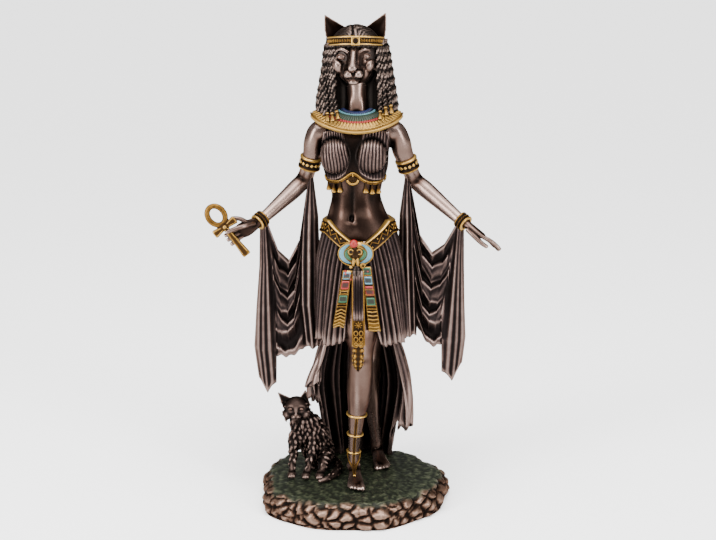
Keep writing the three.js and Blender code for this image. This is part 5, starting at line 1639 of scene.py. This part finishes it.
def chunks(p):
    """Broken rock: rounded blocks with cracks between them, and a rough skin."""
    place = Vector((p[0] / 8.5, p[1] / 8.5, p[2] / 6.0 + 3.1))
    near = noise.voronoi(place, distance_metric="DISTANCE", exponent=2.5)[0]
    crack = min(1.0, (near[1] - near[0]) * 2.6)
    return 2.6 * crack**0.6 * (1 - 0.5 * near[0]) + 0.7 * lumps(p, 3.2, 8.4) - 1.9


def lumps(p, scale, seed):
    return noise.fractal(Vector((p[0] / scale, p[1] / scale, p[2] / scale + seed)), 0.8, 2.0, 4)


PROFILE = curve([(0.955, 0), (0.985, 2.2), (0.985, 6.5), (0.965, 10.6), (0.925, 13.2), (0.87, 14.6), (0.8, 15.0)], 34)
rows = []
for share, z in [*PROFILE, *[(s, 15.0) for s in np.linspace(0.77, 0.02, 40)]]:
    row = []
    for a in np.linspace(0, TAU, 360, endpoint=False):
        r = plan(a) * share
        p = np.array([BASE_CENTRE[0] + BASE_HALF[0] * r * math.cos(a), BASE_CENTRE[1] + BASE_HALF[1] * r * math.sin(a), z])
        rim = float(ease(share, 0.78, 0.93))
        outward = np.array([math.cos(a), math.sin(a), 0])
        foot = float(ease(z, 0.0, 1.2))
        p = p + outward * chunks(p) * rim * foot
        p[2] += rim * float(ease(z, 6, 13)) * (0.9 * lumps(p, 7, 5.5) - 0.2)
        p[2] += (1 - rim) * (0.45 * lumps(p, 5, 2.7) + 0.35 * lumps(p, 1.6, 6.1) - 0.55)
        row.append(p)
    rows.append(row)
base = skin("base", rows)
weather(base, relief=0.3, rounds=10)
points = points_of(base)
reach = np.hypot((points[:, 0] - BASE_CENTRE[0]) / BASE_HALF[0], (points[:, 1] - BASE_CENTRE[1]) / BASE_HALF[1])
bearing = np.arctan2(points[:, 1] - BASE_CENTRE[1], points[:, 0] - BASE_CENTRE[0])
edge_here = np.array([plan(a) for a in bearing])
ragged = np.array([noise.noise(Vector(tuple(p / 6))) for p in points]) * 0.05
moss = ease(0.93 + ragged - reach / edge_here, 0.0, 0.05) * ease(points[:, 2], 10, 13)
base.data.attributes.new("moss", "FLOAT", "POINT").data.foreach_set("value", moss.astype(np.float32))

rock = patina("rock", [(0.0, WASH), (0.3, (0.009, 0.0045, 0.003)), (0.55, (0.032, 0.017, 0.011)),
                       (0.8, (0.08, 0.046, 0.031)), (1.0, (0.15, 0.095, 0.07))], rough=(0.6, 0.4), blotch=0.5, edge=0.3)
tree = rock.node_tree
shader = tree.nodes["Principled BSDF"]
mossy = tree.nodes.new("ShaderNodeAttribute")
mossy.attribute_name = "moss"
wear_here = tree.nodes.new("ShaderNodeAttribute")
wear_here.attribute_name = "wear"
green = ramp_node(tree, wear_here.outputs["Fac"], [
    (0.0, (0.0015, 0.0022, 0.0012)), (0.4, (0.0045, 0.006, 0.0034)), (0.65, (0.013, 0.016, 0.0085)), (1.0, (0.04, 0.042, 0.025))])
mix = tree.nodes.new("ShaderNodeMix")
mix.data_type = "RGBA"
link(tree, mossy.outputs["Fac"], mix.inputs["Factor"])
link(tree, shader.inputs["Base Color"].links[0].from_socket, mix.inputs["A"])
link(tree, green, mix.inputs["B"])
link(tree, mix.outputs["Result"], shader.inputs["Base Color"])
bare = calc(tree, "MULTIPLY", calc(tree, "SUBTRACT", 1.0, mossy.outputs["Fac"]), 0.85)
link(tree, calc(tree, "ADD", bare, 0.05), shader.inputs["Metallic"])
finish_piece(base, "rock", rock, "rocky_base")

# %% [markdown]
# The last step prints how many pieces there are and how many triangles they have.


print(len(pieces), "pieces,", sum(faces for _, faces in pieces), "triangles")
